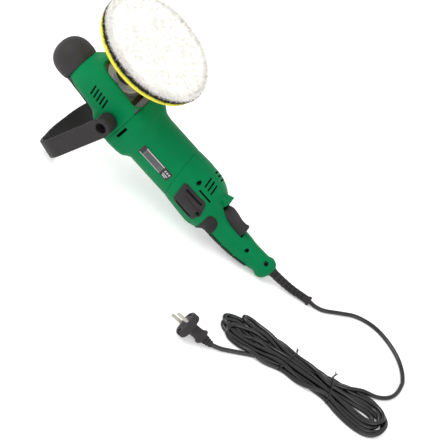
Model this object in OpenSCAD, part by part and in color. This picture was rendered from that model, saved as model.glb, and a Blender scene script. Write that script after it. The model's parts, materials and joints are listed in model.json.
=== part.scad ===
// Rotary polisher with a loop handle, a 174 mm wool bonnet and a mains lead tied in a hank.
// It lies on its back: the loop handle and the tail of the grip carry it, and the bonnet faces up.
// Every module is drawn in the tool's own frame, whose origin is where the spindle axis meets the
// motor axis, with +X to the tail and +Z to the bonnet. tool() lays that frame down on the floor.

/* [Pose] */
// Angle at which the motor axis slopes down to the tail, in degrees
lean = 19; // [17:0.5:21]

/* [Spindle and pad] */
// Radius of the wool bonnet
pad_r = 87; // [80:1:90]
// Height of the wool face above the motor axis
pad_face_z = 125; // [122:1:128]
// Radius of the spindle thread
thread_r = 7; // [6:0.5:8]
// Teeth on the bevel gear
bevel_teeth = 29; // [24:1:36]
// Teeth on the bevel pinion
pinion_teeth = 11; // [9:1:13]
// Module of the bevel pair
bevel_module = 1.6; // [1.4:0.1:1.7]

/* [Motor] */
// Radius of the motor tube, outside
tube_r = 40.2; // [39:0.1:41]
// Radius of the bore through the motor housing
tube_bore_r = 37.6; // [37:0.1:37.8]
// Radius of the armature core
armature_r = 20.8; // [18:0.1:21]
// Module of the first gear pair
spur_module = 1.1; // [1:0.05:1.15]
// Teeth on the armature pinion
motor_pinion_teeth = 8; // [7:1:9]
// Teeth on the gear that it drives
first_gear_teeth = 27; // [24:1:30]

/* [Handles] */
// Distance from the handle bolts to the back of the crossbar
loop_reach = 138.5; // [135:0.5:142]
// Half of the distance across the loop handle
loop_half = 68; // [64:1:72]
// Width of the handle's strap
strap_w = 29; // [24:1:32]
// Thickness of the handle's strap
strap_t = 4.6; // [3.5:0.1:6]
// Angle between the loop handle and the spindle axis
loop_tilt = 14; // [5:1:20]
// Wall of the plastic covers
wall = 2.8; // [2:0.1:3.2]

/* [Lead] */
// Diameter of the mains lead
cord_d = 6.6; // [6:0.1:7.5]

/* [Hidden] */
// Row origin: under the middle of the tool, on the floor
row_x = -123.1;
row_z = 134.15;
$fn = 64;
facets = 40;
gap = 0.2;
eps = 0.01;
run = 0.05;
far = 400;

// Handle pivot and motor stations along the tool
pivot_x = 31;
plate_x = [44, 49];
seam_x = 158;
first_gear_x = [36, 42.5];
fan_x = [61, 72];
stator_x = [85, 135];
brush_x = 154;
rear_bearing_x = [173, 180];
countershaft_z = -spur_module * (motor_pinion_teeth + first_gear_teeth) / 2;
bevel_r = bevel_module * bevel_teeth / 2;
pinion_r = bevel_module * pinion_teeth / 2;
case_screw = 29.2;
boss_r = 14;
rim_z = 46;
shaft_r = 5;
bearing_face_z = [24, 36];
ball_r = [8.5, 20];
tooth_taper = 0.30;

// Places along the tool, [x, z]: spindle lock, trigger pin, housing screws, lock button and dial
lock_x = -13;
lock_r = 4.5;
trigger_pin_x = 241;
trigger_pin_z = 8;
rear_screws_at = [[182, 31.5], [214, 5], [307, 3], [341, 10.5]];
lock_button_x = 268;
lock_button_z = -12;
dial_x = 340;
dial_z = -14.9;
dial_r = 7;

// Sections of the shells: [x, half width, centre z, reach to the top, reach to the pad side,
// roundness of the top, roundness of the pad side, slant of the section]
head_sections = [
    [-53, 27, 0, 32, 23, 2, 2.2, 0],
    [-46, 30, 0, 30, 30, 2, 2.6, 0],
    [-38, 33.5, 0, 28.5, 42, 2, 3.5, 0],
    [-28, 36, 0, 27.5, 49, 2, 5, 0],
    [-12, 38, 0, 29, 51, 2, 6, 0],
    [3, 39.3, 0, 31, 51, 2.1, 6, 0],
    [17, 40.8, 0, 37, 51, 3.2, 6, 0],
    [32, 41.8, 0, 40.5, 51, 3.4, 6, 0],
    [42, 43.2, 0, 43.2, 50, 3.6, 5, 0],
    [plate_x[1], 43.8, 0, 43.8, 45, 3.6, 3.6, 0]];
motor_sections = [
    [plate_x[1], 43.8, 0, 43.8, 45, 3.6, 3.6, 0],
    [64, 43.6, 0, 43.6, 43.6, 3.4, 3.4, -0.05],
    [75, 42.8, 0, 42.8, 42.8, 3, 3, -0.14],
    [84, 40.8, 0, 40.8, 40.8, 2.2, 2.2, -0.14],
    [92, tube_r, 0, tube_r, tube_r, 2, 2, 0],
    [140, tube_r, 0, tube_r, tube_r, 2, 2, 0],
    [seam_x, tube_r, 0, tube_r, tube_r, 2, 2, -0.25]];
rear_sections = [
    [seam_x + 0.2, tube_r, 0, tube_r, tube_r, 2, 2, -0.25],
    [176, 41.6, 0, 41.6, 41.4, 2, 2, -0.1],
    [198, 42.2, -1, 42, 41, 2, 2, 0],
    [213, 41.4, -3, 41, 38.5, 2, 2, 0],
    [226, 36, -5, 38, 34, 2, 2, 0],
    [233, 31, -5.5, 36.5, 29, 2, 2, 0],
    [241, 25, -8, 27, 27.5, 2, 2, 0],
    [252, 22.4, -10, 24.6, 24, 2, 2, 0],
    [268, 21, -11, 23.4, 22, 2, 2, 0],
    [295, 19.3, -10.2, 21.8, 21.8, 2, 2, 0],
    [312, 18, -9, 19.2, 19.2, 2, 2, 0],
    [329, 16.6, -6.2, 17.4, 17.2, 2, 2, 0],
    [338, 15.8, -4, 15.8, 15.8, 2, 2, 0],
    [346, 17.4, -3.8, 19, 19, 2, 2, 0],
    [352, 16, -3.6, 17.2, 17.4, 2, 2, 0],
    [356, 12.5, -2, 13.4, 13.4, 2, 2, 0],
    [358, 8.2, 0, 8.4, 8.4, 2, 2, 0]];

// Route of the lead on the floor, from the guard's end to the hank, in the row frame
lead_route = [
    [287.7, 5, 5.4], [298, 4.5, 3.8], [313, 8, 3.4], [336, 23, 3.4], [360, 37, 3.4], [390, 40, 3.4],
    [418, 30, 3.4], [442, 12, 3.4], [458, -10, 3.4], [466, -35, 3.4], [466, -60, 3.4],
    [460, -82, 3.4], [448, -94, 3.4]];
// Route of the short length between the hank and the plug
plug_route = [
    [260, -148, 3.4], [246, -156, 3.4], [232, -166, 3.4], [217, -176, 4.2], [202.4, -182.4, 6.1]];
// Route of the guard's middle line, from the tail down to the floor
guard_route = [
    [204.2, 0, 22.5], [212.7, 0, 19.6], [222, 0.4, 16.5], [234, 1.2, 12.9], [246, 2.2, 9.8],
    [258, 3.2, 7.6], [273, 4.2, 6.4], [287.5, 5, 5.4]];
guard_r = 6.6;
guard_line = smooth_route(guard_route, 3);

// Hank of the lead, in the row frame: its middle line, and the half width at each point
hank_line = [[204, -124], [222, -124], [254, -122], [304, -126], [374, -127], [422, -124], [444, -124]];
hank_half = [22, 31, 28, 20, 20, 30, 34];
hank_h = 19;
ties = [hank_line[3], hank_line[4]];

// Plug, in the row frame: face centre, and the angles that it lies at
plug_face = [154.7, -190, 21.8];
plug_drop = 18;
plug_roll = 27;
plug_turn = 9;

// ---- Helpers ----

function signed_pow(v, p) = sign(v) * pow(abs(v), p);

// Points of one section of a shell, grown outwards by grow
function section(s, grow) = [
    for (i = [0:facets - 1])
        let (a = 360 * i / facets,
             low = sin(a) < 0,
             n = low ? s[5] : s[6],
             reach = (low ? s[3] : s[4]) + grow,
             y = (s[1] + grow) * signed_pow(cos(a), 2 / n),
             z = s[2] + reach * signed_pow(sin(a), 2 / n))
        [s[0] + s[7] * z, y, z]];

// Closed skin through rings of points that all have the same count
module skin(rings) {
    n = len(rings[0]);
    last = len(rings) - 1;
    polyhedron(
        points = [for (r = rings) each r],
        faces = concat(
            [[for (i = [0:n - 1]) i]],
            [for (k = [0:last - 1], i = [0:n - 1])
                [k * n + i, (k + 1) * n + i, (k + 1) * n + (i + 1) % n, k * n + (i + 1) % n]],
            [[for (i = [n - 1:-1:0]) last * n + i]]),
        convexity = 8);
}

// Solid through a list of sections, its first and last sections moved by start and end
module loft(sections, grow = 0, start = 0, end = 0) {
    last = len(sections) - 1;
    skin([for (k = [0:last])
        let (shift = k == 0 ? start : k == last ? end : 0)
        [for (p = section(sections[k], grow)) p + [shift, 0, 0]]]);
}

// Block between two corners
module block(low, high) {
    translate(low) cube(high - low);
}

// Cylinder along X, from x[0] to x[1]
module along_x(x, r, y = 0, z = 0) {
    translate([x[0], y, z]) rotate([0, 90, 0]) cylinder(r = r, h = x[1] - x[0]);
}

// Cylinder along Y, from y[0] to y[1]
module along_y(y, r, x = 0, z = 0) {
    translate([x, y[0], z]) rotate([-90, 0, 0]) cylinder(r = r, h = y[1] - y[0]);
}

// Cylinder along Z, from z[0] to z[1]
module along_z(z, r, x = 0, y = 0) {
    translate([x, y, z[0]]) cylinder(r = r, h = z[1] - z[0]);
}

// Ring along X and ring along Z, with r = [inner, outer]
module ring_x(x, r, z = 0) {
    difference() {
        along_x(x, r[1], 0, z);
        along_x([x[0] - 1, x[1] + 1], r[0], 0, z);
    }
}
module ring_z(z, r) {
    difference() {
        along_z(z, r[1]);
        along_z([z[0] - 1, z[1] + 1], r[0]);
    }
}

// Copies at both sides of the tool
module both_sides() {
    for (side = [-1, 1]) scale([1, side, 1]) children();
}

// Places of the four screws that join the head to the motor
module at_case_screws() {
    for (y = [-1, 1], z = [-1, 1]) translate([0, y * case_screw, z * case_screw]) children();
}

// The tool's frame, laid on the floor
module tool() {
    translate([row_x, 0, row_z]) rotate([0, lean, 0]) children();
}

// Outline of a gear with straight-flanked teeth, thickness is the share of the pitch at the pitch line
module gear_outline(teeth, tooth_module, addendum, dedendum, thickness, phase = 0) {
    r = teeth * tooth_module / 2;
    pitch = 360 / teeth;
    polygon([for (i = [0:teeth - 1], corner = [
            [-thickness * 0.80, -dedendum], [-thickness * 0.30, addendum],
            [thickness * 0.30, addendum], [thickness * 0.80, -dedendum]])
        let (a = pitch * (i + phase + corner[0]), q = r + corner[1])
        [q * cos(a), q * sin(a)]]);
}

// Tube swept along points that lie close together, with a level frame
module swept_tube(points, r, sides = 10) {
    last = len(points) - 1;
    skin([for (k = [0:last])
        let (ahead = points[min(k + 1, last)] - points[max(k - 1, 0)],
             along = ahead / norm(ahead),
             side = cross([0, 0, 1], along) / norm(cross([0, 0, 1], along)),
             up = cross(along, side))
        [for (i = [0:sides - 1])
            let (a = 360 * i / sides)
            points[k] + r * (cos(a) * side + sin(a) * up)]]);
}

// Smooth curve through route points: steps pieces between each pair
function spline_point(p, t) =
    0.5 * (2 * p[1] + (p[2] - p[0]) * t + (2 * p[0] - 5 * p[1] + 4 * p[2] - p[3]) * t * t
        + (3 * p[1] - p[0] - 3 * p[2] + p[3]) * t * t * t);
function smooth_route(route, steps) =
    let (last = len(route) - 1)
    concat(
        [for (k = [0:last - 1], j = [0:steps - 1])
            let (before = k == 0 ? 2 * route[0] - route[1] : route[k - 1],
                 after = k == last - 1 ? 2 * route[last] - route[last - 1] : route[k + 2])
            spline_point([before, route[k], route[k + 1], after], j / steps)],
        [route[last]]);

// ---- Head ----

module head_cover() {
    color("green")
    difference() {
        union() {
            loft(head_sections);
            along_x([-72, -52], 12, 0, -5);
        }
        difference() {
            loft(head_sections, -wall, 4, 1);
            along_x([-60, -46], 14, 0, -5);
        }
        block([-60, -60, rim_z], [60, 60, 80]);
        block([30, -37, 36], [60, 37, 60]);
        both_sides() along_y([30, 50], 11.2, pivot_x);
        both_sides() head_vents();
        along_z([-40, -20], lock_r + 0.3, lock_x);
    }
}

// Five slanted slots in the head's flank
module head_vents() {
    for (i = [0:4]) translate([-15.5 + 6.4 * i, 30, 12]) rotate([0, -11, 0])
        block([-1.1, 0, -9.5], [1.1, 15, 9.5]);
}

module gear_case() {
    color("silver")
    difference() {
        union() {
            intersection() {
                loft(head_sections, -wall - gap, 6, 0);
                union() {
                    block([-45.8, -60, -60], [32, 60, 34]);
                    block([31, -60, -60], [40, 60, 20]);
                    block([39.5, -60, -60], [plate_x[0], 60, 43]);
                }
            }
            both_sides() along_y([30, 39.5], 11, pivot_x);
        }
        // Bevel chamber, bearing spigot and needle bearing seat
        along_z([-14.6, 16], 26.5);
        along_z([15.9, 35], 28.2);
        along_z([-27, -14], 8);
        along_z([-40, -22], lock_r + 0.3, lock_x);
        along_z([-23, -14], 2.3, lock_x);
        // Pinion chamber, countershaft bearing seat and first gear chamber
        along_x([14, 34.5], 11, 0, countershaft_z);
        along_x([34, 45], 16.6, 0, countershaft_z);
        along_x([33.5, 45], 7);
        at_case_screws() along_x([30, 50], 2.05);
        at_case_screws() along_x([30, 39.5], 3.8);
        for (a = [45:90:315]) rotate(a) along_z([22, 40], 1.6, 32.6);
        both_sides() along_y([28, 45], shaft_r, pivot_x);
    }
}

module gear_plate() {
    color("lightgray")
    difference() {
        union() {
            intersection() {
                loft(head_sections, -wall - gap, 0, 1);
                block([plate_x[0], -60, -60], [plate_x[1], 60, 43]);
            }
            along_x([plate_x[0], 59], 16);
        }
        along_x([40, 60], 6.6);
        along_x([50, 60], 13);
        along_x([40, plate_x[1] + 1], 8, 0, countershaft_z);
        at_case_screws() along_x([40, 50], 2.05);
    }
}

module bearing_box() {
    color("gray")
    difference() {
        union() {
            along_z([16, 34.5], 28.2);
            along_z([34, 38], 30.5);
            for (a = [45:90:315]) rotate(a) along_z([34, 37], 5, 32.6);
        }
        along_z([22, 39], ball_r[1]);
        along_z([15, 23], 14);
        for (a = [45:90:315]) rotate(a) along_z([30, 40], 1.6, 32.6);
        for (a = [45:90:315]) rotate(a) along_z([37, 40], 3.5, 32.6);
        for (a = [0:90:270]) rotate(a) along_z([34.4, 40], 1.3, 25);
    }
}

module bearing_retainer() {
    color("white")
    difference() {
        along_z([38, 40.7], 27.4);
        along_z([37, 42], 14.4);
        for (a = [0:90:270]) rotate(a) along_z([37, 42], 1.3, 25);
        difference() {
            along_z([39.6, 42], 40);
            along_z([39, 43], 21.5);
        }
    }
}

module screw_head(head_r, head_h, shank_r, shank_h) {
    difference() {
        union() {
            cylinder(r = head_r, h = head_h);
            translate([0, 0, -shank_h]) cylinder(r = shank_r, h = shank_h + 0.1);
        }
        translate([0, 0, head_h - head_h * 0.55]) cylinder(r = head_r * 0.5, h = head_h, $fn = 6);
    }
}

module retainer_screws() {
    color("dimgray") {
        for (a = [0:90:270]) rotate(a) translate([25, 0, 39.6]) screw_head(2.2, 1.4, 1.3, 4.5);
        for (a = [45:90:315]) rotate(a) translate([32.6, 0, 37]) screw_head(3.2, 2, 1.6, 14);
    }
}

module case_screws() {
    color("dimgray")
    at_case_screws() translate([39.5, 0, 0]) rotate([0, -90, 0]) screw_head(3.6, 3.6, 2.05, 34);
}

module ball_bearing() {
    color("silver") ring_z(bearing_face_z, [ball_r[0] + run, ball_r[1]]);
}

module needle_bearing() {
    color("silver") ring_z([-26.5, -18], [shaft_r + run, 8]);
}

module countershaft_bearings() {
    color("silver") {
        ring_x([25, 33], [shaft_r + run, 11], countershaft_z);
        ring_x([44.2, plate_x[1]], [4 + run, 8], countershaft_z);
    }
}

module armature_bearings() {
    color("silver") {
        ring_x([50.4, 58.4], [shaft_r + run, 13]);
        ring_x(rear_bearing_x, [4 + run, 11]);
    }
}

module nose_grip() {
    color("dimgray") {
        difference() {
            translate([-67, 0, -5]) sphere(r = 30);
            block([-53, -60, -60], [0, 60, 60]);
            along_x([-72.2, -40], 12.05, 0, -5);
        }
        difference() {
            intersection() {
                loft(head_sections, 2.2);
                grip_strip();
            }
            loft(head_sections);
            along_z([-60, 0], lock_r + 1.1, lock_x);
        }
    }
}

// Plan of the rubber strip over the top of the head
module grip_strip() {
    translate([0, 0, -60]) linear_extrude(50)
        polygon([[-53, -22], [-20, -19], [6, -15], [11, -9], [11, 9], [6, 15], [-20, 19], [-53, 22]]);
}

// ---- Spindle ----

module spindle() {
    color("gray")
    difference() {
        union() {
            along_z([-26.3, -14], shaft_r);
            along_z([-14.2, 4], 8);
            along_z([4, 22.5], 11);
            along_z([22.5, 37], ball_r[0]);
            along_z([37, 46], 13);
            along_z([46, 92], thread_r);
        }
        along_z([88, 93], 3, $fn = 6);
    }
}

// Bevel gear: teeth that shrink to the point where the two shafts cross
module bevel_gear() {
    apex = countershaft_z;
    large_z = apex + pinion_r;
    stretch = sqrt(bevel_r * bevel_r + pinion_r * pinion_r);
    color("darkgray")
    difference() {
        union() {
            translate([0, 0, apex]) mirror([0, 0, 1])
                translate([0, 0, -pinion_r]) linear_extrude(pinion_r * tooth_taper, scale = 1 - tooth_taper)
                gear_outline(bevel_teeth, bevel_module, bevel_module * 0.72 * pinion_r / stretch,
                    bevel_module * 0.69 * stretch / pinion_r, 0.38);
            along_z([large_z - eps, large_z + 1.3], 20.4);
            along_z([large_z + 1.29, 4], 24.6);
        }
        along_z([-30, 10], 8);
        along_z([-30, large_z - 0.4], bevel_r * 0.64);
        for (a = [0:90:270]) rotate(a) along_z([-30, 0], 2.4, -lock_x);
    }
}

module backing_hub() {
    color("dimgray")
    difference() {
        union() {
            along_z([50, 94], 13);
            along_z([92, 96], 30);
        }
        along_z([49, 93], thread_r);
        both_sides() block([-20, 10.5, 56], [20, 20, 66]);
    }
}

module backing_pad() {
    color("yellow")
    rotate_extrude()
        polygon([[0, 96], [38, 96], [62, 98.5], [83, 104], [85.5, 106], [85.8, 109.6], [85, 110], [0, 110]]);
}

module loop_layer() {
    color("black") along_z([110, 113.5], 85);
}

module wool_pad() {
    color("white")
    rotate_extrude($fn = 96) {
        edge_r = 5;
        union() {
            polygon([[0, 113.5], [84, 113.5], [pad_r - edge_r, pad_face_z], [0, pad_face_z]]);
            intersection() {
                translate([pad_r - edge_r, pad_face_z - edge_r - 2]) scale([1, 1.35]) circle(r = edge_r);
                polygon([[60, 113.5], [90, 113.5], [90, pad_face_z], [60, pad_face_z]]);
            }
        }
    }
}

// ---- Gear train ----

module countershaft() {
    stretch = sqrt(bevel_r * bevel_r + pinion_r * pinion_r);
    color("gray")
    translate([0, 0, countershaft_z]) {
        translate([bevel_r, 0, 0]) rotate([0, -90, 0])
            linear_extrude(bevel_r * tooth_taper, scale = 1 - tooth_taper)
            gear_outline(pinion_teeth, bevel_module, bevel_module * 0.72 * bevel_r / stretch,
                bevel_module * 1.15 * bevel_r / stretch, 0.34, 0.5);
        along_x([bevel_r - eps, 24.8], 7.2);
        along_x([24.7, 36], shaft_r);
        along_x([35.9, plate_x[1]], 4);
    }
}

module first_gear() {
    color("darkgray")
    difference() {
        translate([first_gear_x[0], 0, countershaft_z]) rotate([0, 90, 0])
            linear_extrude(first_gear_x[1] - first_gear_x[0])
            gear_outline(first_gear_teeth, spur_module, spur_module * 0.8, spur_module * 1.2, 0.4);
        along_x([30, 50], 4, 0, countershaft_z);
    }
}

module armature_shaft() {
    color("gray") {
        translate([35, 0, 0]) rotate([0, 90, 0]) linear_extrude(8.3)
            gear_outline(motor_pinion_teeth, spur_module, spur_module * 0.8, spur_module * 1.2, 0.34);
        along_x([43.2, 50.4], 4);
        along_x([50.3, rear_bearing_x[0] - 0.2], shaft_r);
        along_x([rear_bearing_x[0] - 0.3, 181], 4);
    }
}

module armature_core() {
    slots = 12;
    color("lightgray")
    difference() {
        along_x([87, 133], armature_r);
        along_x([86, 134], shaft_r);
        for (i = [0:slots - 1]) rotate([360 * i / slots, 0, 0])
            block([86, -1.1, 12], [134, 1.1, 22]);
    }
}

module armature_windings() {
    color("orange") {
        ring_x([79, 87], [shaft_r, 17.5]);
        ring_x([133, 144], [shaft_r, 17.5]);
    }
}

module commutator() {
    color("peru") ring_x([146, 162], [shaft_r, 12]);
}

module cooling_fan() {
    blades = 15;
    color("dimgray") {
        ring_x([fan_x[0], fan_x[0] + 3], [shaft_r, 34]);
        ring_x([fan_x[0] + 2.9, fan_x[1]], [shaft_r, 10]);
        for (i = [0:blades - 1]) rotate([360 * i / blades, 0, 0])
            block([fan_x[0] + 2.9, -0.8, 20], [fan_x[1] - 1, 0.8, 33.5]);
    }
}

// ---- Motor ----

module motor_housing() {
    color("green")
    difference() {
        loft(motor_sections);
        along_x([40, 175], tube_bore_r);
        at_case_screws() along_x([48, 74], 2.05);
        both_sides() block([53.6, 36, -9], [57.8, 60, 14.5]);
    }
}

module fan_baffle() {
    color("dimgray") {
        ring_x([73, 75.5], [27, tube_bore_r]);
        ring_x([75.4, 84.6], [35.2, tube_bore_r]);
    }
}

module stator_core() {
    color("lightgray")
    difference() {
        along_x(stator_x, tube_bore_r);
        along_x([80, 140], 21.6);
        for (side = [-1, 1]) {
            translate([0, 0, side * 27]) block([80, -19, -3], [140, 19, 3]);
            translate([0, side * 37.5, 0]) block([80, -3, -9], [140, 3, 9]);
        }
    }
}

// Two field coils: flat loops around the poles
module field_coils() {
    color("orange")
    for (side = [-1, 1]) {
        translate([0, 0, side * 27]) {
            block([77, -18.5, -2.8], [84.9, 18.5, 2.8]);
            block([135.1, -18.5, -2.8], [142, 18.5, 2.8]);
            for (y = [-18.5, 12.5]) block([84.8, y, -2.8], [135.2, y + 6, 2.8]);
        }
    }
}

module bearing_bracket() {
    color("dimgray")
    difference() {
        union() {
            ring_x([143.5, 172], [34.6, tube_bore_r]);
            along_x([rear_bearing_x[0] - 2, 183], 14);
            for (a = [0:90:270]) rotate([a + 45, 0, 0]) block([171, -4, 12], [176, 4, 36.4]);
            ring_x([171, 176], [34, 36.4]);
        }
        along_x(rear_bearing_x, 11);
        along_x([160, rear_bearing_x[0] + 1], 8);
        along_x([rear_bearing_x[1] - 1, 182], 5);
        both_sides() block([brush_x - 7, 30, -6.5], [brush_x + 7, 40, 6.5]);
    }
}

module brush_holders() {
    color("goldenrod")
    both_sides() difference() {
        block([brush_x - 6, 14, -5.5], [brush_x + 6, 34.4, 5.5]);
        block([brush_x - 4, 10, -3.5], [brush_x + 4, 31, 3.5]);
    }
}

module carbon_brushes() {
    color("black")
    both_sides() difference() {
        block([brush_x - 4, 11.5, -3.5], [brush_x + 4, 26, 3.5]);
        along_x([140, 170], 12.05);
    }
}

// ---- Rear housing and grip ----

// Hollow rear shell with the openings that both halves share
module rear_shell() {
    difference() {
        union() {
            difference() {
                loft(rear_sections);
                intersection() {
                    loft(rear_sections, -wall, -1, -3);
                    block([140, -60, -60], [352, 60, 60]);
                }
                along_x([140, 177], tube_bore_r + 0.1);
            }
            rear_bosses();
            trigger_lug();
        }
        trigger_pocket();
        along_x([340, 362], 6.9, 0, 0.7);
        along_x([344, 349.6], 9.1, 0, 0.7);
        dial_slot();
        rear_screw_holes();
        along_y([-30, 30], 2.02, trigger_pin_x, trigger_pin_z);
        both_sides() rear_vents();
    }
}

// Screw bosses that reach across both halves
module rear_bosses() {
    intersection() {
        loft(rear_sections, -0.2, 0, 0);
        union() {
            for (p = rear_screws_at) along_y([-40, 40], 4.2, p[0], p[1]);
            block([trigger_pin_x - 5, -22, 4], [trigger_pin_x + 5, 22, 12]);
        }
    }
}

module rear_screw_holes() {
    for (p = rear_screws_at) {
        along_y([-45, 40], 1.5, p[0], p[1]);
        along_y([-60, -9], 3.1, p[0], p[1]);
    }
}

// Guard lug ahead of the trigger
module trigger_lug() {
    rotate([90, 0, 0]) translate([0, 0, -9]) linear_extrude(18)
        polygon([[218, 28], [228, 31], [234, 34.5], [237, 34.5], [236, 24], [234, 17], [222, 18]]);
}

module trigger_pocket() {
    block([trigger_pin_x - 4.6, -9.6, -2], [trigger_pin_x + 46.5, 9.6, 60]);
    block([trigger_pin_x - 6, -9.6, 12], [trigger_pin_x, 9.6, 24]);
}

// Air slots on the pad side and the flank
module rear_vents() {
    for (i = [0:2]) translate([191.2 + 6.9 * i, 0, 0])
        rotate([67, 0, 0]) rotate([0, -8, 0])
        block([-1, 28, -9.5], [1, 60, 9.5]);
    rotate([42, 0, 0]) block([190, 30, -1.1], [214, 60, 1.1]);
    rotate([-36, 0, 0]) {
        block([185, 34, -1.4], [191, 60, 1.4]);
        block([199, 34, -1.2], [222, 60, 1.2]);
    }
}

module dial_slot() {
    block([dial_x - dial_r - 0.7, -3.6, -40], [dial_x + dial_r + 0.7, 3.6, 0]);
}

module rear_housing_right() {
    color("green") intersection() {
        rear_shell();
        block([100, -60, -60], [far, 0, 60]);
    }
}

module rear_housing_left() {
    color("green") difference() {
        intersection() {
            rear_shell();
            block([100, 0, -60], [far, 60, 60]);
        }
        along_y([10, 40], 4.7, lock_button_x, lock_button_z);
    }
}

module rear_screws() {
    color("dimgray")
    for (p = rear_screws_at) translate([p[0], -9, p[1]]) rotate([90, 0, 0])
        screw_head(3, 2.4, 1.5, 16);
}

// Skin on the rear housing between two grown copies of its outline
module rear_skin(thickness) {
    difference() {
        intersection() {
            loft(rear_sections, thickness);
            children();
        }
        loft(rear_sections);
    }
}

// Plan of the vent cover on the flank, seen along Y
module vent_cover_region() {
    rotate([90, 0, 0]) linear_extrude(60)
        polygon([[168, 20], [171, 23], [209, 23], [213, 20], [218, -2], [216, -9], [212, -12],
            [178, -12], [174, -8]]);
}

module vent_cover() {
    difference() {
        rear_skin(2) vent_cover_region();
        translate([0, -30, 0]) {
            block([176.5, -30, 16], [206.5, 0, 18.6]);
            block([181, -30, -9.6], [210, 0, -7.4]);
        }
        along_y([-60, -30], 3.1, rear_screws_at[1][0], rear_screws_at[1][1]);
    }
}

module vent_cover_right() {
    color("dimgray") vent_cover();
}

module vent_cover_left() {
    color("dimgray") scale([1, -1, 1]) vent_cover();
}

module rating_label() {
    color("silver")
    difference() {
        intersection() {
            along_x([90, 149], tube_r + 0.45);
            block([80, -60, 1], [160, 0, 15]);
        }
        along_x([80, 160], tube_r + 0.12);
    }
}

// Soft grip: a pad behind the vents and three strips along the top of the handle
module soft_grip() {
    color("dimgray")
    rear_skin(1.3) union() {
        rotate([90, 0, 0]) translate([0, 0, -60]) linear_extrude(120)
            polygon([[233, -45], [231, -18], [228.5, 9], [233, 9.8], [241, 6.5], [248, 2.5],
                [251.5, -4], [253.5, -14], [253.5, -26], [253.5, -45]]);
        rotate([90, 0, 0]) translate([0, 0, -60]) linear_extrude(120) {
            polygon([[255, -24], [278, -25.5], [278, -50], [255, -50]]);
            polygon([[280, -25.5], [301, -23.5], [301, -50], [280, -50]]);
            polygon([[303, -23.5], [324, -18], [324, -50], [303, -50]]);
        }
    }
}

module trigger() {
    color("dimgray")
    difference() {
        rotate([90, 0, 0]) translate([0, 0, -9]) linear_extrude(18)
            polygon([[237.4, 4], [237.4, 12], [240, 19], [247, 22.5], [258, 21.5], [270, 18.5],
                [277, 18.5], [283, 21.5], [285.5, 19], [285.5, 4], [280, 3], [245, 3]]);
        along_y([-20, 20], 2.05, trigger_pin_x, trigger_pin_z);
    }
}

module trigger_pin() {
    color("silver") along_y([-16, 16], 2, trigger_pin_x, trigger_pin_z);
}

module switch_body() {
    color("black") {
        block([250, -9, -24], [290, 9, -6]);
        block([274, -3, -6.1], [280, 3, -3]);
    }
}

module lock_button() {
    color("dimgray") along_y([14, 23.6], 4.6, lock_button_x, lock_button_z);
}

module speed_dial() {
    notches = 24;
    color("black")
    difference() {
        along_y([-3, 3], dial_r, dial_x, dial_z);
        for (i = [0:notches - 1]) translate([dial_x, 0, dial_z]) rotate([0, 360 * i / notches, 0])
            block([dial_r - 0.5, -4, -0.5], [dial_r + 1, 4, 0.5]);
        along_y([-4, 4], 1.5, dial_x, dial_z);
    }
}

module speed_module() {
    color("darkgreen") {
        block([298, -9, -17], [322, 9, -6]);
        difference() {
            block([321.9, -6.5, -16], [332, 6.5, -9]);
            block([330, -3.4, -18], [333, 3.4, -8]);
        }
        along_y([-5.6, 5.6], 1.4, dial_x, dial_z);
        both_sides() block([329.9, 3.5, -16], [342, 5.5, -12]);
    }
}

module spindle_lock() {
    color("red") {
        along_z([-34.5, -26.4], lock_r, lock_x);
        along_z([-26.5, -13.3], 2, lock_x);
    }
}

// ---- Handle ----

// Half of the crossbar's outline: straight arm, round corner and a shallow bow
function loop_side(half, reach, corner, bow) = concat(
    [[half, 0]],
    [for (a = [0:10:80]) [half - corner + corner * cos(a), reach - bow - corner + corner * sin(a)]],
    [for (k = [0:4]) let (y = (half - corner) * (1 - k / 4))
        [y, reach - bow * pow(y / (half - corner), 2)]]);

module loop_outline(inset) {
    half_line = loop_side(loop_half - inset, loop_reach - inset, 38 - inset, 6);
    last = len(half_line) - 1;
    polygon(concat(half_line, [for (i = [last - 1:-1:0]) [-half_line[i][0], half_line[i][1]]]));
}

module loop_handle() {
    color("dimgray")
    difference() {
        translate([pivot_x, 0, 0]) rotate([0, loop_tilt, 0]) {
            translate([-strap_w / 2, 0, 0]) rotate([0, 90, 0]) linear_extrude(strap_w)
                difference() {
                    rotate(-90) loop_outline(0);
                    rotate(-90) loop_outline(strap_t);
                    translate([-20, -100]) square([20 + eps, 200]);
                }
            both_sides() along_y([44.2, loop_half - 0.3], boss_r);
        }
        both_sides() {
            along_y([30, 80], 5.1, pivot_x);
            along_y([57.6, 80], 8.2, pivot_x);
        }
    }
}

module handle_bolts() {
    color("dimgray")
    both_sides() difference() {
        union() {
            along_y([30, 58], shaft_r, pivot_x);
            along_y([57.8, 63], 7.6, pivot_x);
        }
        translate([pivot_x, 60, 0]) rotate([-90, 0, 0]) cylinder(r = 4, h = 5, $fn = 6);
    }
}

// ---- Lead ----

module cord_clamp() {
    color("dimgray")
    difference() {
        block([330.2, -6.2, 2], [336.7, 6.2, 6]);
        along_x([328, 340], 3.4, 0, 0.7);
    }
}

module cord_guard() {
    color("dimgray") {
        skin([for (k = [0:len(guard_line) - 1])
            let (last = len(guard_line) - 1,
                 along = guard_line[min(k + 1, last)] - guard_line[max(k - 1, 0)],
                 side = cross([0, 0, 1], along) / norm(cross([0, 0, 1], along)),
                 up = cross(along, side) / norm(along),
                 r = guard_r - 1.4 * k / last)
            [for (i = [0:11]) guard_line[k] + r * (cos(30 * i) * side + sin(30 * i) * up)]]);
        tool() along_x([344.2, 349.4], 9, 0, 0.7);
    }
}

module power_cord() {
    color("black") swept_tube(smooth_route(lead_route, 3), cord_d / 2);
}

module plug_lead() {
    color("black") swept_tube(smooth_route(plug_route, 2), cord_d / 2);
}

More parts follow.
